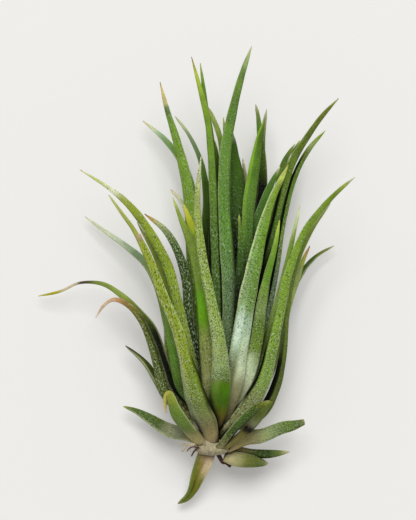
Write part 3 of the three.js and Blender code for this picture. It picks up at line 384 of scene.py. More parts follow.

# Leaves whose colours part from their finish. The near-black stops at the feet of many leaves,
# where other leaves cover them, and base_2's dark band are painted shade.
OWN_COLOURS = {
    "front_1": [(0, "5c4c28"), (0.035, "78693f"), (0.055, "706c28"), (0.085, "4c7814"), (0.14, "508018"),
                (0.165, "5c7830"), (0.2, "6c8850"), (0.26, "98b478"), (0.34, "98b070"), (0.5, "8cac54"),
                (0.7, "90ac50"), (0.88, "b0c478"), (1, "ecf0cc")],
    "front_2": [(0, "b8a484"), (0.05, "a09070"), (0.12, "8c8464"), (0.2, "849064"), (0.34, "80984c"),
                (0.5, "90a438"), (0.9, "a0b044"), (0.935, "b0a07c"), (0.97, "ccb49c"), (1, "dcb09c")],
    "front_3": [(0, "948c68"), (0.1, "8c9468"), (0.2, "789850"), (0.35, "7a9c48"), (0.6, "789c3c"),
                (0.86, "708c30"), (0.93, "90a454"), (1, "e4e6cc")],
    "front_4": [(0, "8c8464"), (0.12, "94906c"), (0.19, "a4b08c"), (0.24, "a4bca0"), (0.32, "a4c4b0"),
                (0.355, "74984c"), (0.6, "6c9824"), (0.84, "88a830"), (0.92, "c4d468"), (0.99, "ccd870"),
                (1, "c89c60")],
    "front_5": [(0, "8c8c4c"), (0.12, "ccd4b0"), (0.16, "d8e0c4"), (0.22, "d8e8cc"), (0.3, "749034"),
                (0.42, "64842a"), (0.5, "90a868"), (0.58, "7c9c44"), (0.66, "70a02c"), (0.78, "6c9830"),
                (0.9, "90b440"), (1, "cede58")],
    "front_6": [(0, "6c6c40"), (0.14, "8c8c64"), (0.3, "7c8c50"), (0.36, "68a020"), (0.44, "64a028"),
                (0.5, "7c9a4c"), (0.9, "88a450"), (1, "ccd48c")],
    "front_7": [(0, "707844"), (0.15, "70803c"), (0.3, "7c9440"), (0.5, "849c34"), (0.72, "8ca03c"),
                (0.79, "acb870"), (0.835, "f0f4e0"), (0.88, "dce8b8"), (0.93, "ccd890"), (0.98, "dce0a8"),
                (1, "e0c090")],
    "base_1": [(0, "b0a480"), (0.08, "84845c"), (0.2, "48641c"), (0.5, "406014"), (0.75, "485c14"),
               (0.88, "687028"), (0.96, "8c8c40"), (1, "b0a878")],
    "base_2": [(0, "8c8860"), (0.3, "7c784c"), (0.355, "1c140c"), (0.45, "241a10"), (0.52, "8c9070"),
               (0.7, "6c7c48"), (1, "6c8440")],
    "base_3": [(0, "c4b48c"), (0.1, "a8a070"), (0.24, "6c8440"), (0.5, "6c8834"), (0.68, "8c9434"),
               (0.76, "bcb44c"), (0.9, "d8d074"), (0.97, "e8c8a4"), (1, "ecc8b0")],
    "heart_1": [(0, "1c2410"), (0.12, "38502c"), (0.22, "5c7050"), (0.3, "607c58"), (0.45, "5c8844"),
                (0.6, "648c48"), (0.7, "587c3c"), (0.8, "6c8c4c"), (0.86, "74945c"), (0.95, "b4c894"),
                (1, "d4d8a8")],
    "heart_2": [(0, "1c2410"), (0.18, "4c6838"), (0.4, "587c40"), (0.7, "70983c"), (0.86, "84a840"),
                (0.95, "b0c458"), (1, "a08048")],
    "heart_3": [(0, "6c7040"), (0.3, "5c8c34"), (0.75, "78982c"), (0.88, "c0c840"), (1, "d4d078")],
    "heart_4": [(0, "080c04"), (0.55, "101808"), (0.68, "3c5c28"), (0.8, "5c7c34"), (0.92, "90a858"),
                (1, "c8cc90")],
    "heart_5": [(0, "1c2410"), (0.2, "1c2c14"), (0.38, "344c24"), (0.48, "4c7434"), (0.6, "5c8440"),
                (0.75, "547c30"), (0.92, "587430"), (1, "8c8c50")],
    "heart_6": [(0, "080c04"), (0.42, "101808"), (0.52, "3c5c28"), (0.7, "40641c"), (0.9, "486c28"),
                (1, "c8ccb0")],
    "heart_7": [(0, "080c04"), (0.45, "1c2810"), (0.6, "40641c"), (0.9, "5c8838"), (1, "a8b868")],
    "heart_8": [(0, "141c0c"), (0.5, "54742c"), (0.7, "9cb868"), (0.9, "b8c88c"), (1, "d8dcb0")],
    "heart_9": [(0, "080c04"), (0.5, "2c4418"), (0.85, "6c8c3c"), (1, "a8b868")],
    "heart_10": [(0, "040602"), (0.45, "0c1008"), (0.62, "406428"), (0.9, "5c8838"), (1, "a8b868")],
    "heart_11": [(0, "141c0c"), (0.8, "8c9060"), (1, "e0dcb8")],
    "left_1": [(0, "90885c"), (0.1, "5c6c30"), (0.4, "5c6c24"), (0.55, "7c8030"), (0.64, "a0804c"),
               (0.7, "c89c74"), (0.78, "e8c4ac"), (0.93, "f0d4c4"), (1, "f0d8cc")],
    "left_2": [(0, "2c3018"), (0.08, "0c1008"), (0.33, "141c0c"), (0.37, "3c5018"), (0.5, "788840"),
               (0.56, "98b068"), (0.7, "7c9050"), (0.735, "504838"), (0.775, "5c5044"), (0.8, "e4d8c4"),
               (0.87, "dcd0b0"), (0.9, "b0ac38"), (1, "c8c850")],
    "left_3": [(0, "404c28"), (0.15, "4c6c30"), (0.3, "5c8c38"), (0.45, "78945c"), (0.6, "84983c"),
               (0.75, "a0ac60"), (0.9, "b4bc7c"), (1, "c8d090")],
    "left_4": [(0, "101808"), (0.25, "202c14"), (0.4, "3c4c28"), (0.7, "4c6434"), (0.83, "94a474"),
               (0.9, "d0d4a0"), (0.97, "c89448"), (1, "6c4028")],
    "left_5": [(0, "2c3818"), (0.35, "445c20"), (0.55, "84984c"), (0.8, "8ca058"), (1, "c0c890")],
    "left_6": [(0, "1c2410"), (0.25, "506c34"), (0.5, "7ca444"), (0.8, "78a044"), (0.88, "6c8c60"),
               (0.9, "d4cc98"), (0.98, "d8c490"), (1, "a0604c")],
    "left_7": [(0, "202c14"), (0.5, "5c8434"), (0.7, "5c8c3c"), (0.82, "7ca470"), (0.9, "b8d0b4"),
               (0.96, "d4d4b4"), (1, "dcb880")],
    "left_8": [(0, "141c0c"), (0.25, "202c14"), (0.35, "3c5828"), (0.47, "3c5824"), (0.52, "4c7034"),
               (0.7, "64805c"), (0.85, "a8b890"), (1, "dce0bc")],
    "left_9": [(0, "4c5c2c"), (0.2, "6c8c3c"), (0.4, "5c8434"), (0.55, "80a070"), (0.66, "94b090"),
               (0.76, "e0f0dc"), (0.95, "ecf0d8"), (1, "e8ecd0")],
    "left_10": [(0, "4c5c34"), (0.4, "4c5c24"), (0.82, "545c2c"), (0.9, "3c3c20"), (1, "140c10")],
    "left_11": [(0, "907c50"), (0.1, "84805c"), (0.25, "8c947c"), (0.4, "a4a888"), (0.5, "586c2c"),
                (0.8, "506828"), (0.93, "789034"), (1, "b0b058")],
    "left_12": [(0, "101808"), (0.4, "3c5420"), (0.55, "98a848"), (0.68, "d0d8b8"), (0.85, "e0e0c8"),
                (0.96, "dcd4bc"), (1, "b09880")],
    "right_1": [(0, "2c3418"), (0.2, "405828"), (0.4, "5c8438"), (0.6, "688834"), (0.78, "5c7028"),
                (0.94, "74803c"), (1, "a0a860")],
    "right_2": [(0, "1c2410"), (0.2, "405c34"), (0.33, "64785c"), (0.42, "6c8468"), (0.5, "6c8850"),
                (0.66, "5c8034"), (0.8, "5c7830"), (0.88, "90a470"), (0.97, "80a038"), (1, "b8c070")],
    "right_3": [(0, "2c3c18"), (0.2, "5c6c3c"), (0.35, "4c6028"), (0.45, "7c9858"), (0.6, "78984c"),
                (0.8, "6c8c3c"), (0.88, "b8cc94"), (1, "e0e4c4")],
    "right_4": [(0, "8c805c"), (0.12, "686c38"), (0.25, "5c6c38"), (0.4, "54642c"), (0.55, "6c843c"),
                (0.8, "74903c"), (0.92, "a4b874"), (1, "d0d4a8")],
    "right_5": [(0, "7c7848"), (0.17, "587430"), (0.33, "74943c"), (0.45, "a0b878"), (0.75, "a0b478"),
                (0.85, "b0bc60"), (0.92, "d8b070"), (0.97, "c88c50"), (1, "40302c")],
    "right_6": [(0, "7c7848"), (0.3, "3c5820"), (0.8, "486424"), (0.95, "88905c"), (1, "c8c49c")],
    "right_7": [(0, "101808"), (0.4, "1c2c12"), (0.55, "446c34"), (0.9, "54803c"), (1, "e0dcc0")],
    "right_8": [(0, "080c04"), (0.4, "202c14"), (0.5, "384c20"), (0.62, "3c5420"), (0.72, "6c8838"),
                (0.85, "4c6c28"), (0.94, "7c9048"), (1, "b0b880")],
    "right_9": [(0, "080c04"), (0.4, "202c14"), (0.55, "3c5424"), (0.9, "4c6c28"), (1, "a8b868")],
    "right_10": [(0, "080c04"), (0.52, "0a0e06"), (0.58, "40581c"), (0.66, "507428"), (0.78, "5c8838"),
                 (0.9, "a0b078"), (1, "dcdcbc")],
    "right_11": [(0, "080c04"), (0.3, "141c0c"), (0.42, "8c9c5c"), (0.5, "3c5420"), (0.7, "4c7028"),
                 (1, "c8ccb0")],
    "right_12": [(0, "b4a47c"), (0.12, "a09468"), (0.3, "a09c74"), (0.5, "8ca070"), (0.65, "647c38"),
                 (0.85, "587030"), (0.95, "6c7c40"), (1, "a49878")],
    "right_13": [(0, "b0a47c"), (0.2, "bcb490"), (0.38, "a0a074"), (0.55, "70783c"), (0.75, "606c34"),
                 (0.9, "647440"), (1, "b8b48c")],
    "right_14": [(0, "c0ac80"), (0.2, "a89870"), (0.4, "706c44"), (0.55, "40501c"), (0.75, "304414"),
                 (0.88, "687c40"), (1, "c8c0a0")],
    "base_4": [(0, "e4d0b8"), (0.12, "d8bc94"), (0.26, "a09050"), (0.4, "848430"), (0.6, "747820"),
               (0.85, "6c7c30"), (1, "94885c")],
}

# Leaves deep inside the rosette, whose feet never see the light: their feet are painted near
# black as shade, with almost no scales and only a faint pale edge.
INNER = ("heart_4", "heart_6", "heart_7", "heart_9", "heart_10", "left_5", "left_8", "right_8",
         "right_9", "right_10", "right_11")
INNER_SCALES = [(0, 0), (0.5, 0.05), (0.7, 0.3), (1, 0.25)]

# Leaves whose scales lie otherwise than their finish says: 0 is bare and smooth, 1 is thickly frosted.
OWN_SCALES = {
    "front_1": [(0, 0.1), (0.06, 0.05), (0.155, 0.05), (0.18, 0.7), (0.6, 0.6), (1, 0.4)],
    "front_2": [(0, 0.15), (0.2, 0.3), (0.3, 0.7), (0.7, 0.6), (1, 0.3)],
    "front_3": [(0, 0.5), (0.12, 0.9), (0.3, 0.85), (0.45, 0.55), (0.8, 0.3), (1, 0.2)],
    "front_4": [(0, 0.1), (0.15, 0.15), (0.22, 0.3), (0.33, 0.35), (0.37, 0.6), (0.5, 0.5), (0.6, 0.35),
                (0.8, 0.3), (1, 0.2)],
    "front_5": [(0, 0.2), (0.25, 0.4), (0.3, 0.6), (0.6, 0.5), (0.7, 0.3), (1, 0.2)],
    "front_6": [(0, 0.5), (0.31, 0.5), (0.35, 0.08), (0.45, 0.08), (0.5, 0.4), (1, 0.3)],
    "base_1": [(0, 0.3), (0.2, 0.4), (1, 0.3)],
    "base_2": [(0, 0), (0.5, 0.1), (1, 0.1)],
    "heart_1": [(0, 0.7), (0.35, 0.6), (0.5, 0.45), (0.65, 0.35), (0.9, 0.35), (0.95, 0.5), (1, 0.3)],
    "heart_2": [(0, 0.6), (0.45, 0.5), (0.6, 0.3), (1, 0.25)],
    "heart_5": [(0, 0.4), (0.5, 0.35), (0.7, 0.22), (1, 0.2)],
    "heart_6": [(0, 0.4), (0.6, 0.2), (1, 0.12)],
    "heart_7": [(0, 0), (0.5, 0.1), (1, 0.2)],
    "left_1": [(0, 0.5), (0.15, 0.6), (0.5, 0.5), (0.65, 0.1), (1, 0)],
    "left_2": [(0, 0), (0.33, 0.1), (0.5, 0.3), (0.7, 0.1), (1, 0)],
    "left_4": [(0, 0.8), (0.8, 0.9), (1, 0.2)],
    "left_6": [(0, 0.5), (0.85, 0.5), (0.9, 0.05), (1, 0)],
    "left_11": [(0, 0.1), (0.3, 0.4), (0.5, 0.6), (0.9, 0.5), (1, 0.2)],
    "left_12": [(0, 0.2), (0.5, 0.3), (1, 0.1)],
    "right_1": [(0, 0.4), (0.4, 0.4), (0.6, 0.25), (1, 0.15)],
    "right_2": [(0, 0.4), (0.45, 0.6), (0.7, 0.3), (1, 0.3)],
    "right_12": [(0, 0.1), (0.5, 0.3), (0.9, 0.4), (1, 0.3)],
    "right_13": [(0, 0), (0.5, 0.1), (1, 0.2)],
    "base_4": [(0, 0), (0.6, 0.08), (1, 0.15)],
}

# Stripes of another colour along a leaf: colour, where its middle lies across the leaf (-1 left,
# 1 right as the leaf points away), its half width, and its share along the leaf. The SHADE stripes
# are painted shade in clefts where a neighbouring leaf overhangs, and the pale edge stripes of
# front_3 and heart_1 are painted highlights.
STRIPE_SOFTNESS = 0.14  # over what share of the half width a stripe fades
SHADE = "080c04"  # painted shade in a cleft between two leaves, with no scales over it
STRIPES = {
    "front_1": [("c4d0a8", -0.5, 0.35, [(0, 0), (0.2, 0.2), (0.5, 0.3), (1, 0.2)])],
    "front_2": [("b4c0a0", -0.8, 0.5, [(0, 0.2), (0.2, 0.5), (0.5, 0.5), (0.8, 0.2), (1, 0)]),
                (SHADE, 1, 0.22, [(0, 0), (0.2, 0.6), (0.26, 1), (0.5, 1), (0.6, 0), (1, 0)]),
                ("6c8c14", 0.5, 0.4, [(0, 0), (0.3, 0.2), (0.4, 0.5), (0.8, 0.4), (1, 0)])],
    # front_3's pale right edge is a painted highlight, and its dark left edge is painted shade
    "front_3": [("f0f4d4", 1, 0.2, [(0, 0.2), (0.1, 0.9), (0.5, 0.9), (1, 0.3)]),
                (SHADE, -1, 0.26,
                 [(0, 0), (0.07, 0), (0.12, 1), (0.33, 1), (0.42, 0.5), (0.5, 0), (1, 0)])],
    "front_4": [("e8fcf8", -0.4, 0.35,
                 [(0, 0), (0.25, 0.1), (0.29, 0.8), (0.33, 0.6), (0.37, 0.1), (1, 0)]),
                ("e0f0d8", 0.5, 0.45,
                 [(0, 0), (0.14, 0.1), (0.2, 0.8), (0.27, 0.3), (0.34, 0), (1, 0)]),
                ("545c34", -0.6, 0.5, [(0, 0.2), (0.1, 0.7), (0.2, 0.7), (0.25, 0), (1, 0)]),
                ("dce8c4", -0.95, 0.16, [(0, 0), (0.34, 0), (0.4, 0.8), (0.8, 0.7), (1, 0)])],
    "front_5": [("e0f0d8", -0.6, 0.5,
                 [(0, 0), (0.1, 0.2), (0.16, 0.7), (0.24, 0.7), (0.3, 0), (1, 0)]),
                (SHADE, 1, 0.3, [(0, 1), (0.45, 1), (0.6, 0.8), (0.7, 0), (1, 0)])],
    "front_6": [(SHADE, -0.95, 0.3, [(0, 0.9), (0.3, 0.9), (0.45, 0.5), (0.6, 0.3), (1, 0)])],
    "front_7": [("4c702c", -0.9, 0.4, [(0, 0.6), (0.4, 0.6), (0.7, 0.3), (0.85, 0), (1, 0)])],
    "heart_1": [(SHADE, 0.95, 0.25, [(0, 0.9), (0.45, 0.9), (0.55, 0.2), (1, 0)]),
                # heart_1's pale left edge is a painted highlight
                ("a0c088", -0.9, 0.2, [(0, 0), (0.3, 0.4), (0.8, 0.4), (1, 0)])],
    "heart_2": [(SHADE, 1, 0.35, [(0, 0.9), (0.6, 0.9), (0.72, 0.6), (0.8, 0), (1, 0)])],
    "heart_5": [("8cc040", -0.9, 0.38, [(0, 0), (0.5, 0.3), (0.8, 0.7), (0.97, 1), (1, 0)]),
                (SHADE, 0.9, 0.3, [(0, 0.8), (0.45, 0.8), (0.6, 0), (1, 0)])],
    "left_1": [("7c3c20", -0.9, 0.35, [(0, 0), (0.35, 0), (0.45, 0.7), (0.6, 0.4), (0.7, 0), (1, 0)]),
               (SHADE, 1, 0.4, [(0, 0.4), (0.3, 0.8), (0.5, 0.7), (0.6, 0), (1, 0)])],
    "left_3": [(SHADE, -1, 0.3, [(0, 0.9), (0.3, 0.8), (0.45, 0), (1, 0)])],
    "right_1": [(SHADE, -1, 0.5, [(0, 1), (0.55, 1), (0.62, 0.5), (0.7, 0), (1, 0)]),
                (SHADE, -0.4, 0.8, [(0, 1), (0.33, 1), (0.4, 0.3), (0.45, 0), (1, 0)])],
    "right_2": [(SHADE, -1, 0.4, [(0, 0.5), (0.3, 0.9), (0.4, 1), (0.78, 1), (0.85, 0), (1, 0)])],
    "right_4": [(SHADE, -1, 0.55, [(0, 0), (0.15, 1), (0.42, 1), (0.5, 0.5), (0.6, 0), (1, 0)])],
    "right_5": [(SHADE, -1, 0.4, [(0, 0.9), (0.35, 0.9), (0.5, 0.5), (0.6, 0), (1, 0)])],
    "base_4": [("ecd8c0", 0.7, 0.55, [(0, 0.9), (0.2, 0.9), (0.34, 0.4), (0.45, 0), (1, 0)]),
               ("647c2c", -0.9, 0.4, [(0, 0.1), (0.2, 0.6), (0.9, 0.7), (1, 0)]),
               ("303408", -0.25, 0.12, [(0, 0), (0.35, 0.2), (0.5, 0.8), (0.9, 0.8), (1, 0)])],
}


def leaf_path(points, climb):
    """The leaf's points with its root in the stem before them, and the last one drawn on."""
    x, y, z, width = points[0]
    reach = math.hypot(x - STEM_X, z - STEM_Z)
    rise = SHEATH_SLOPE * max(reach - ROOT_DEPTH, 0) if climb is None else climb
    share = ROOT_DEPTH / max(reach, ROOT_DEPTH)
    root = (STEM_X + (x - STEM_X) * share, y - rise, STEM_Z + (z - STEM_Z) * share,
            width * ROOT_WIDTH_SHARE)
    path = [root, *points] if reach > ROOT_DEPTH else list(points)
    end = Vector(path[-1][:3])
    onward = (end - Vector(path[-2][:3])).normalized() * TIP_REACH
    path[-1] = (*(end + onward), path[-1][3])
    return path


def blade_places(path, face, across, along, length, draw):
    """The place of each point of a blade and the blade's width there, both in millimetres."""
    centre, way = spline(path, along)
    width = np.maximum(centre[:, 3], 0)
    if path[-1][3] <= BLUNT_WIDTH:
        blend = np.clip((along - TIP_START) / TIP_SHARE, 0, 1) ** TIP_FALL
        width = width * (1 - blend) + TIP_WIDTH * blend
    width *= 1 + (SHEATH_SPREAD - 1) * np.clip(1 - along * SPREAD_RATE, 0, 1)
    width *= 1 + WAVE_SHARE * np.sin(along * length * WAVE_RATE + draw.uniform(*STARTS))
    centre, way = centre[:, :3], unit(way[:, :3])
    twist = TWIST_DEGREES * np.sin(along * TWIST_RATE + draw.uniform(*STARTS))
    turn = np.radians(face[0] + (face[1] - face[0]) * along + twist)
    back = np.stack([np.sin(turn), 0 * turn, np.cos(turn)], 1)
    back = unit(back - way * np.sum(back * way, 1)[:, None])
    side = np.cross(way, back)
    channel = SHEATH_CHANNEL + (CHANNEL - SHEATH_CHANNEL) * np.clip(along * CHANNEL_RATE, 0, 1)
    lift = width * channel * (0.5 - np.abs(across) ** CHANNEL_ROUNDNESS)
    return centre + side * (across * width / 2)[:, None] + back * lift[:, None], width


def blade_thickness(width, across):
    """Thickness of a blade at each point, as a share of the sheath's."""
    full = np.clip((width - THIN_WIDTH) / (THICK_WIDTH - THIN_WIDTH), 0, 1)
    thick = BLADE_THICKNESS + (SHEATH_THICKNESS - BLADE_THICKNESS) * full
    thick = np.minimum(thick, THICKNESS_PER_WIDTH * width + LEAST_THICKNESS)
    return thick * (1 - EDGE_THINNING * across ** 4) / SHEATH_THICKNESS


def blade_skin(name, colours, scales, across, along, draw):
    """The colour and the frost of a blade at each point, from its stops, its rim and its stripes."""
    tint = colour_stops(OWN_COLOURS.get(name, colours), along)
    # the pale rim is partly a painted highlight, fainter on inner leaves, which lie in shade
    rim = np.clip(np.abs(across) * RIM_SLOPE - RIM_START, 0, 1) * np.clip(along * RIM_RATE, 0, 1)
    tint = tinted(tint, RIM_CODE, (INNER_RIM_SHARE if name in INNER else RIM_SHARE) * rim)
    bare = np.ones_like(along)
    for code, middle, half, shares in STRIPES.get(name, []):
        inside = np.clip((half - np.abs(across - middle)) / STRIPE_SOFTNESS + 0.5, 0, 1)
        inside = inside * stops(shares, along)[:, 0]
        tint = tinted(tint, code, inside)
        # no scales are drawn over painted shade
        if code == SHADE:
            bare *= 1 - inside
    tint[:, :3] = graded(tint[:, :3], 1 if name in DULL else 0) * draw.uniform(*TONE_RANGE)
    scales = INNER_SCALES if name in INNER else scales
    frost = stops(OWN_SCALES.get(name, scales), along)[:, 0] * bare * draw.uniform(*FROST_RANGE)
    return tint, frost


def leaf(name, finish, face, climb, points, seed):
    """One closed blade: a flat strip rolled onto its path, given thickness and smoothed."""
    draw = np.random.default_rng(seed)
    path = leaf_path(points, climb)
    length = sum((Vector(a[:3]) - Vector(b[:3])).length for a, b in zip(path, path[1:]))
    steps = max(FEWEST_STEPS, round(length / STEP_ALONG))

    let_go()
    bpy.ops.mesh.primitive_grid_add(x_subdivisions=STRIPS_ACROSS, y_subdivisions=steps, size=1)
    blade = bpy.context.object
    blade.name = blade.data.name = name + "_blade"
    mesh = blade.data
    flat = np.empty(len(mesh.vertices) * 3)
    mesh.vertices.foreach_get("co", flat)
    flat = flat.reshape(-1, 3)
    across, along = flat[:, 0] * 2, flat[:, 1] + 0.5

    places, width = blade_places(path, face, across, along, length, draw)
    mesh.vertices.foreach_set("co", (places * MM).ravel())
    group = blade.vertex_groups.new(name="thickness")
    for i, share in enumerate(blade_thickness(width, across)):
        group.add([i], float(share), "REPLACE")

    material, colours, scales = FINISHES[finish]
    tint, frost = blade_skin(name, colours, scales, across, along, draw)
    mesh.attributes.new("tint", "FLOAT_COLOR", "POINT").data.foreach_set("color", tint.ravel())
    mesh.attributes.new("frost", "FLOAT", "POINT").data.foreach_set("value", frost)

    # The skin's own map, in millimetres, starts elsewhere on each leaf so that no two look alike.
    ruler = mesh.uv_layers.new(name="blade_mm")
    corners = np.empty(len(mesh.loops), int)
    mesh.loops.foreach_get("vertex_index", corners)
    shift = draw.uniform(0, MAP_START_MM, 2)
    spread = np.stack([across * width / 2 + shift[0], along * length + shift[1]], 1)
    ruler.data.foreach_set("uv", spread[corners].ravel())

    chosen(blade)
    finish_modifier(blade, "SOLIDIFY", thickness=SHEATH_THICKNESS * MM, offset=0,
                    vertex_group="thickness", use_quality_normals=True)
    finish_modifier(blade, "SUBSURF", levels=1, render_levels=1)
    close_skin()
    for v in blade.data.vertices:
        v.co.z = max(v.co.z, 0)  # the plant's weight presses its lowest leaves flat on the surface
    stand_for(blade, "leaf_" + name, material)


# ---- stem and roots ----
# (y, radius) from the root end to the growing point.
STEM_PROFILE = [(-36, 0.0), (-35.9, 2.2), (-35, 3.3), (-31, 4.1), (-25, 3.7), (-16, 2.0), (-15.1, 0.9),
                (-15, 0.0)]
STEM_FLUTES, FLUTE_DEPTH, FLUTE_TWIST = 9, 0.03, 1.7
SCAR_DEPTH, SCAR_RATE, SCAR_EDGE = 0.04, 3.6, 0.75  # rings that old leaves left, winding round the stem

# Each root is a list of tracks: its own line of (x, y, z) first, then the side threads that leave it.
ROOT_STUB = [
    [(3.8, -34.6, 10.4), (4.8, -36.4, 9.9), (5.4, -37.5, 9.5), (5.9, -37.2, 9.3), (6.9, -38.2, 8.9)],
]
ROOT_WISP_1 = [
    [(1.8, -33.6, 14), (0.4, -33.2, 14.8), (-0.8, -33.9, 14.5), (-1.9, -33.5, 14), (-2.2, -34.6, 13.4),
     (-2.8, -35.1, 12.8)],
    [(-0.7, -33.7, 14.5), (-1.4, -34.4, 14.4), (-1.1, -35.2, 14.1)],
    [(-1.8, -33.6, 14), (-2.7, -33.4, 13.8), (-3.2, -34.1, 13.4)],
]
ROOT_WISP_2 = [
    [(1.6, -34.2, 13.4), (0.5, -34.2, 14.4), (-0.2, -34.9, 14.8), (-0.5, -35.2, 14.7), (-0.9, -36, 14.2)],
    [(0.4, -34.3, 14.4), (-0.6, -34.1, 14.7), (-1.5, -34.5, 14.6), (-1.8, -35.1, 14.4)],
]
STUB_RADII, WISP_RADII = (0.48, 0.34), (0.24, 0.15)  # at the stem and at the end
THREAD_SHARE = 0.6  # a side thread's radius as a share of its root's


def stem():
    """The short stem: a ball drawn out to its profile, ringed by old leaf scars."""
    let_go()
    bpy.ops.mesh.primitive_uv_sphere_add(segments=56, ring_count=64, radius=1)
    piece = bpy.context.object
    piece.name = piece.data.name = "stem_core"
    where = [p[0] for p in STEM_PROFILE]
    radii = [p[1] for p in STEM_PROFILE]
    for v in piece.data.vertices:
        level = 1 - math.acos(max(-1, min(1, v.co.z))) / math.pi
        y = where[0] + (where[-1] - where[0]) * level
        turn = math.atan2(v.co.y, v.co.x)
        flute = FLUTE_DEPTH * math.sin(turn * STEM_FLUTES + y * FLUTE_TWIST)
        scar = SCAR_DEPTH * (math.sin(y * SCAR_RATE + turn) > SCAR_EDGE)
        radius = float(np.interp(y, where, radii)) * (1 + flute - scar)
        v.co = (metres(STEM_X + radius * math.cos(turn)), metres(y),
                metres(STEM_Z - radius * math.sin(turn)))
    chosen(piece)
    close_skin(merge=0.01)
    stand_for(piece, "stem", "stem_bark")


def strand(name, node, tracks, radii, material):
    """A root along given points, with any side threads that leave it."""
    line = bpy.data.curves.new(name, "CURVE")
    line.dimensions = "3D"
    line.bevel_depth = MM
    line.bevel_resolution = 3
    line.resolution_u = 6
    line.use_fill_caps = True
    for branch, points in enumerate(tracks):
        thin = THREAD_SHARE if branch else 1
        track = line.splines.new("NURBS")
        track.points.add(len(points) - 1)
        for i, (x, y, z) in enumerate(points):
            share = i / (len(points) - 1)
            track.points[i].co = (metres(x), metres(y), metres(z), 1)
            track.points[i].radius = (radii[0] + (radii[1] - radii[0]) * share) * thin
        track.use_endpoint_u = True
        track.order_u = 3
    piece = bpy.data.objects.new(name, line)
    bpy.context.collection.objects.link(piece)
    chosen(piece)
    bpy.ops.object.convert(target="MESH")
    close_skin(merge=0.005)
    stand_for(bpy.context.object, node, material)


# ---- materials ----
def add(tree, kind, inputs=None, **settings):
    """Adds a node with its settings, and a value or a link for each named input."""
    made = tree.nodes.new("ShaderNode" + kind)
    for key, value in settings.items():
        setattr(made, key, value)
    for socket, value in (inputs or {}).items():
        if isinstance(value, bpy.types.NodeSocket):
            tree.links.new(value, made.inputs[socket])
        else:
            made.inputs[socket].default_value = value
    return made


def start_material(name):
    material = bpy.data.materials.new(name)
    material.use_nodes = True
    material.node_tree.nodes.clear()
    return material, material.node_tree


def living_leaf(name, scale_code, haze, contrast, gloss):
    """Living leaf skin: fine lengthwise ribs under flat silver scales.

    The scales scatter light, so the skin looks frosted where they lie thickly and waxy between.
    They lie in slanting rows, and the bare skin that shows between them is darker."""
    material, tree = start_material(name)
    tint = add(tree, "Attribute", attribute_name="tint").outputs["Color"]
    frost = add(tree, "Attribute", attribute_name="frost").outputs["Fac"]
    ruler = add(tree, "UVMap", uv_map="blade_mm").outputs["UV"]
    place = add(tree, "TexCoord").outputs["Object"]

    mottle = add(tree, "TexNoise", {"Vector": place, "Scale": 1 / metres(MOTTLE_MM),
                                    "Detail": 3.0}).outputs["Fac"]
    rib_lines = add(tree, "Mapping", {"Vector": ruler,
                                      "Scale": (1 / RIB_MM, 1 / RIB_LENGTH_MM, 1)}).outputs[0]
    ribs = add(tree, "TexNoise", {"Vector": rib_lines, "Scale": 1.0, "Detail": 2.0}).outputs["Fac"]
    light = add(tree, "Math", {0: mottle, 1: MOTTLE_LIGHT, 2: SKIN_LIGHT},
                operation="MULTIPLY_ADD").outputs[0]
    light = add(tree, "Math", {0: ribs, 1: RIB_LIGHT, 2: light}, operation="MULTIPLY_ADD").outputs[0]
    skin = add(tree, "HueSaturation", {"Color": tint, "Value": light}).outputs["Color"]

    slanted = add(tree, "Mapping", {"Vector": ruler, "Rotation": (0, 0, SCALE_SLANT)}).outputs[0]
    rows = add(tree, "Mapping", {"Vector": slanted,
                                 "Scale": (1 / SCALE_MM, 1 / SCALE_LENGTH_MM, 1)}).outputs[0]
    nap = add(tree, "TexNoise", {"Vector": rows, "Scale": 1.0, "Detail": 2.0,
                                 "Roughness": 0.6}).outputs["Fac"]
    patches = add(tree, "TexNoise", {"Vector": place, "Scale": 1 / metres(PATCH_MM),
                                     "Detail": 1.0}).outputs["Fac"]
    cover = add(tree, "MapRange", {"Value": patches, **PATCH_COVER}).outputs[0]
    cover = add(tree, "Math", {0: cover, 1: frost}, operation="MULTIPLY").outputs[0]

    scale = add(tree, "MapRange", {"Value": nap, **HIGH_NAP}).outputs[0]
    bare = add(tree, "MapRange", {"Value": nap, **LOW_NAP}).outputs[0]
    depth = add(tree, "Math", {0: cover, 1: -contrast}, operation="MULTIPLY").outputs[0]
    shade = add(tree, "Math", {0: bare, 1: depth, 2: 1.0}, operation="MULTIPLY_ADD").outputs[0]
    shade = add(tree, "Clamp", {"Value": shade, "Min": DARKEST_BARE}).outputs[0]
    skin = add(tree, "HueSaturation", {"Color": skin, "Value": shade}).outputs["Color"]
    shown = add(tree, "Math", {0: scale, 1: cover}, operation="MULTIPLY").outputs[0]
    shown = add(tree, "Math", {0: shown, 1: haze}, operation="MULTIPLY").outputs[0]
    skin = add(tree, "Mix", {0: shown, 6: skin, 7: linear(scale_code)}, data_type="RGBA").outputs[2]

    # painted shade: skin closely hemmed in by other leaves is darkened almost to black
    nook_shade = add(tree, "AmbientOcclusion", {"Distance": metres(NOOK_SHADE_MM)}, samples=6).outputs["AO"]
    nook_shade = add(tree, "MapRange", {"Value": nook_shade, **NOOK_LIGHT}).outputs[0]
    skin = add(tree, "HueSaturation", {"Color": skin, "Value": nook_shade}).outputs["Color"]

    relief = add(tree, "Math", {0: ribs, 1: RIB_HEIGHT, 2: scale}, operation="MULTIPLY_ADD").outputs[0]
    bump = add(tree, "Bump", {"Height": relief, "Strength": RELIEF_STRENGTH,
                              "Distance": metres(SKIN_RELIEF_MM)}).outputs[0]
    rough = add(tree, "MapRange", {"Value": scale, "To Min": gloss, "To Max": SCALE_ROUGHNESS}).outputs[0]
    shader = add(tree, "BsdfPrincipled", {"Base Color": skin, "Roughness": rough, "Normal": bump,
                                          "Specular IOR Level": SKIN_SHEEN})
    add(tree, "OutputMaterial", {"Surface": shader.outputs["BSDF"]})
    return material


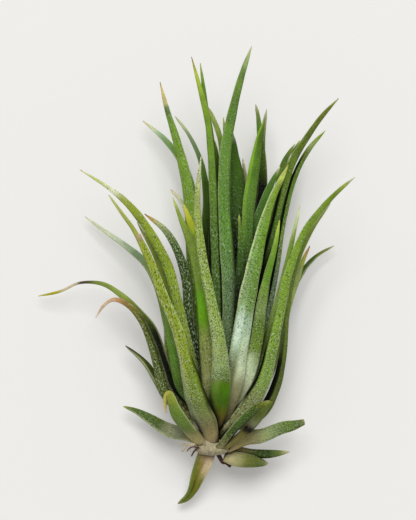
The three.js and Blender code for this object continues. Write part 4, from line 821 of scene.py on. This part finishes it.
def dry_tissue(name, light_code, fibre_mm, rough):
    """Dry plant tissue: matt, with fibres along it, darker in the grooves between them."""
    material, tree = start_material(name)
    place = add(tree, "TexCoord").outputs["Object"]
    across, along = 1 / metres(fibre_mm), 1 / metres(FIBRE_LENGTH * fibre_mm)
    grain = add(tree, "Mapping", {"Vector": place, "Scale": (across, along, across)}).outputs[0]
    fibres = add(tree, "TexNoise", {"Vector": grain, "Scale": 1.0, "Detail": 4.0}).outputs["Fac"]
    light = add(tree, "MapRange", {"Value": fibres, **FIBRE_LIGHT}).outputs[0]
    tone = add(tree, "HueSaturation", {"Color": linear(light_code), "Value": light}).outputs["Color"]
    bump = add(tree, "Bump", {"Height": fibres, "Strength": RELIEF_STRENGTH,
                              "Distance": metres(FIBRE_RELIEF_MM)}).outputs[0]
    shader = add(tree, "BsdfPrincipled", {"Base Color": tone, "Roughness": rough, "Normal": bump})
    add(tree, "OutputMaterial", {"Surface": shader.outputs["BSDF"]})
    return material


# Scales are 0.15 to 0.3 mm across on the plant. They are drawn as longer strokes, leaning across
# the blade by SCALE_SLANT radians, because round ones of that size don't show.
SCALE_MM, SCALE_LENGTH_MM, SCALE_SLANT = 0.2, 0.45, 0.65
HIGH_NAP = {"From Min": 0.52, "From Max": 0.62}  # the nap's high places are scales,
LOW_NAP = {"From Min": 0.46, "From Max": 0.38}  # and its low places are bare
DARKEST_BARE = 0.3
SCALE_ROUGHNESS = 0.85
SKIN_SHEEN = 0.06  # dusty scales leave the skin almost no mirror gloss

PATCH_MM = 1.1  # scales lie thickly and thinly in patches of about this size
PATCH_COVER = {"From Min": 0.35, "From Max": 0.6, "To Min": 0.55, "To Max": 1.2}
MOTTLE_MM, MOTTLE_LIGHT = 2.4, 0.8  # lighter and darker green in patches of about this size
RIB_MM, RIB_LENGTH_MM, RIB_LIGHT, RIB_HEIGHT = 0.3, 6, 0.5, 0.5  # veins, about this far apart
SKIN_LIGHT = 0.37  # the light that mottle and ribs add to
SKIN_RELIEF_MM, RELIEF_STRENGTH = 0.12, 0.9  # how far scales and ribs stand up
NOOK_SHADE_MM = 1.6  # skin this close under another leaf gets painted shade, darker the more it is hemmed in
NOOK_LIGHT = {"From Min": 0.6, "From Max": 0.93, "To Min": 0.03}

FIBRE_LENGTH, FIBRE_RELIEF_MM = 4, 0.2  # fibres are this many times longer than wide
FIBRE_LIGHT = {"From Min": 0.3, "From Max": 0.7, "To Min": 0.55, "To Max": 1.2}

MATERIALS = {
    # Wide old leaves, thick with scales: matt and frosted.
    "silver_scaled_leaf": living_leaf("silver_scaled_leaf", "d4e4c4", 1.0, 2.2, 0.6),
    # Young heart leaves with few scales: waxy and smooth.
    "smooth_young_leaf": living_leaf("smooth_young_leaf", "c4d8b0", 0.95, 1.2, 0.5),
    # Leaves inside the rosette: darker and greyer, with dimmer scales, as painted shade.
    "shaded_leaf": living_leaf("shaded_leaf", "b8d0b0", 0.95, 1.4, 0.6),
    # Corky grey-tan stem, the brown broken root and the bleached one.
    "stem_bark": dry_tissue("stem_bark", "b0a684", 0.4, 0.85),
    "root_skin_dark": dry_tissue("root_skin_dark", "4c2c20", 0.3, 0.75),
    "root_skin_pale": dry_tissue("root_skin_pale", "d0bc98", 0.25, 0.85),
}


# ---- the surface, the light and the camera ----
FLOOR_SIZE_M = 6
FLOOR_GLOW = 0.26  # the white surface glows faintly of its own, which keeps its shadows faint
SKY_STRENGTH = 0.32
LAMP_PLACE, LAMP_SIZE_M, LAMP_WATTS = (0.0, 1.15, 3.1), 1.7, 91  # a broad box light above the leaf tips


def surroundings():
    let_go()
    bpy.ops.mesh.primitive_plane_add(size=FLOOR_SIZE_M, location=(0, 0, 0))
    floor = bpy.context.object
    floor.name = "floor"
    # White painted board: matt, a little warm, with a faint glow of its own that lifts its shadows.
    matt, tree = start_material("floor_matt_white")
    shader = add(tree, "BsdfPrincipled", {"Base Color": linear("cdccca"), "Roughness": 0.9,
                                          "Emission Color": linear("e9e8e5"),
                                          "Emission Strength": FLOOR_GLOW})
    add(tree, "OutputMaterial", {"Surface": shader.outputs["BSDF"]})
    floor.data.materials.append(matt)

    world = bpy.data.worlds.new("studio")
    bpy.context.scene.world = world
    world.use_nodes = True
    sky = world.node_tree.nodes["Background"]
    sky.inputs["Color"].default_value = linear("fdfcfa")
    sky.inputs["Strength"].default_value = SKY_STRENGTH

    bpy.ops.object.light_add(type="AREA", location=LAMP_PLACE)
    lamp = bpy.context.object
    lamp.name = "softbox"
    lamp.data.shape = "DISK"
    lamp.data.size = LAMP_SIZE_M
    lamp.data.energy = LAMP_WATTS
    lamp.rotation_euler = (-Vector(LAMP_PLACE)).to_track_quat("-Z", "Y").to_euler()


def look_down():
    let_go()
    x, y, z = VIEW_CENTRE
    bpy.ops.object.camera_add(location=(metres(x), metres(y), metres(z + CAMERA_HEIGHT)))
    camera = bpy.context.object
    camera.data.sensor_width = SENSOR
    camera.data.lens = SENSOR * CAMERA_HEIGHT / (PHOTO_HEIGHT_PX * MM_PER_PX)
    camera.data.clip_end = CAMERA_REACH_M
    bpy.context.scene.camera = camera
    bpy.context.scene.view_settings.view_transform = "Standard"


# ---- put together ----
surroundings()
look_down()
for number, (name, finish, face, climb, points) in enumerate(LEAVES):
    leaf(name, finish, face, climb, points, number + 1)
stem()
strand("root_stub_broken", "root_stub", ROOT_STUB, STUB_RADII, "root_skin_dark")
strand("root_wisp_long", "root_wisp_1", ROOT_WISP_1, WISP_RADII, "root_skin_pale")
strand("root_wisp_short", "root_wisp_2", ROOT_WISP_2, WISP_RADII, "root_skin_dark")
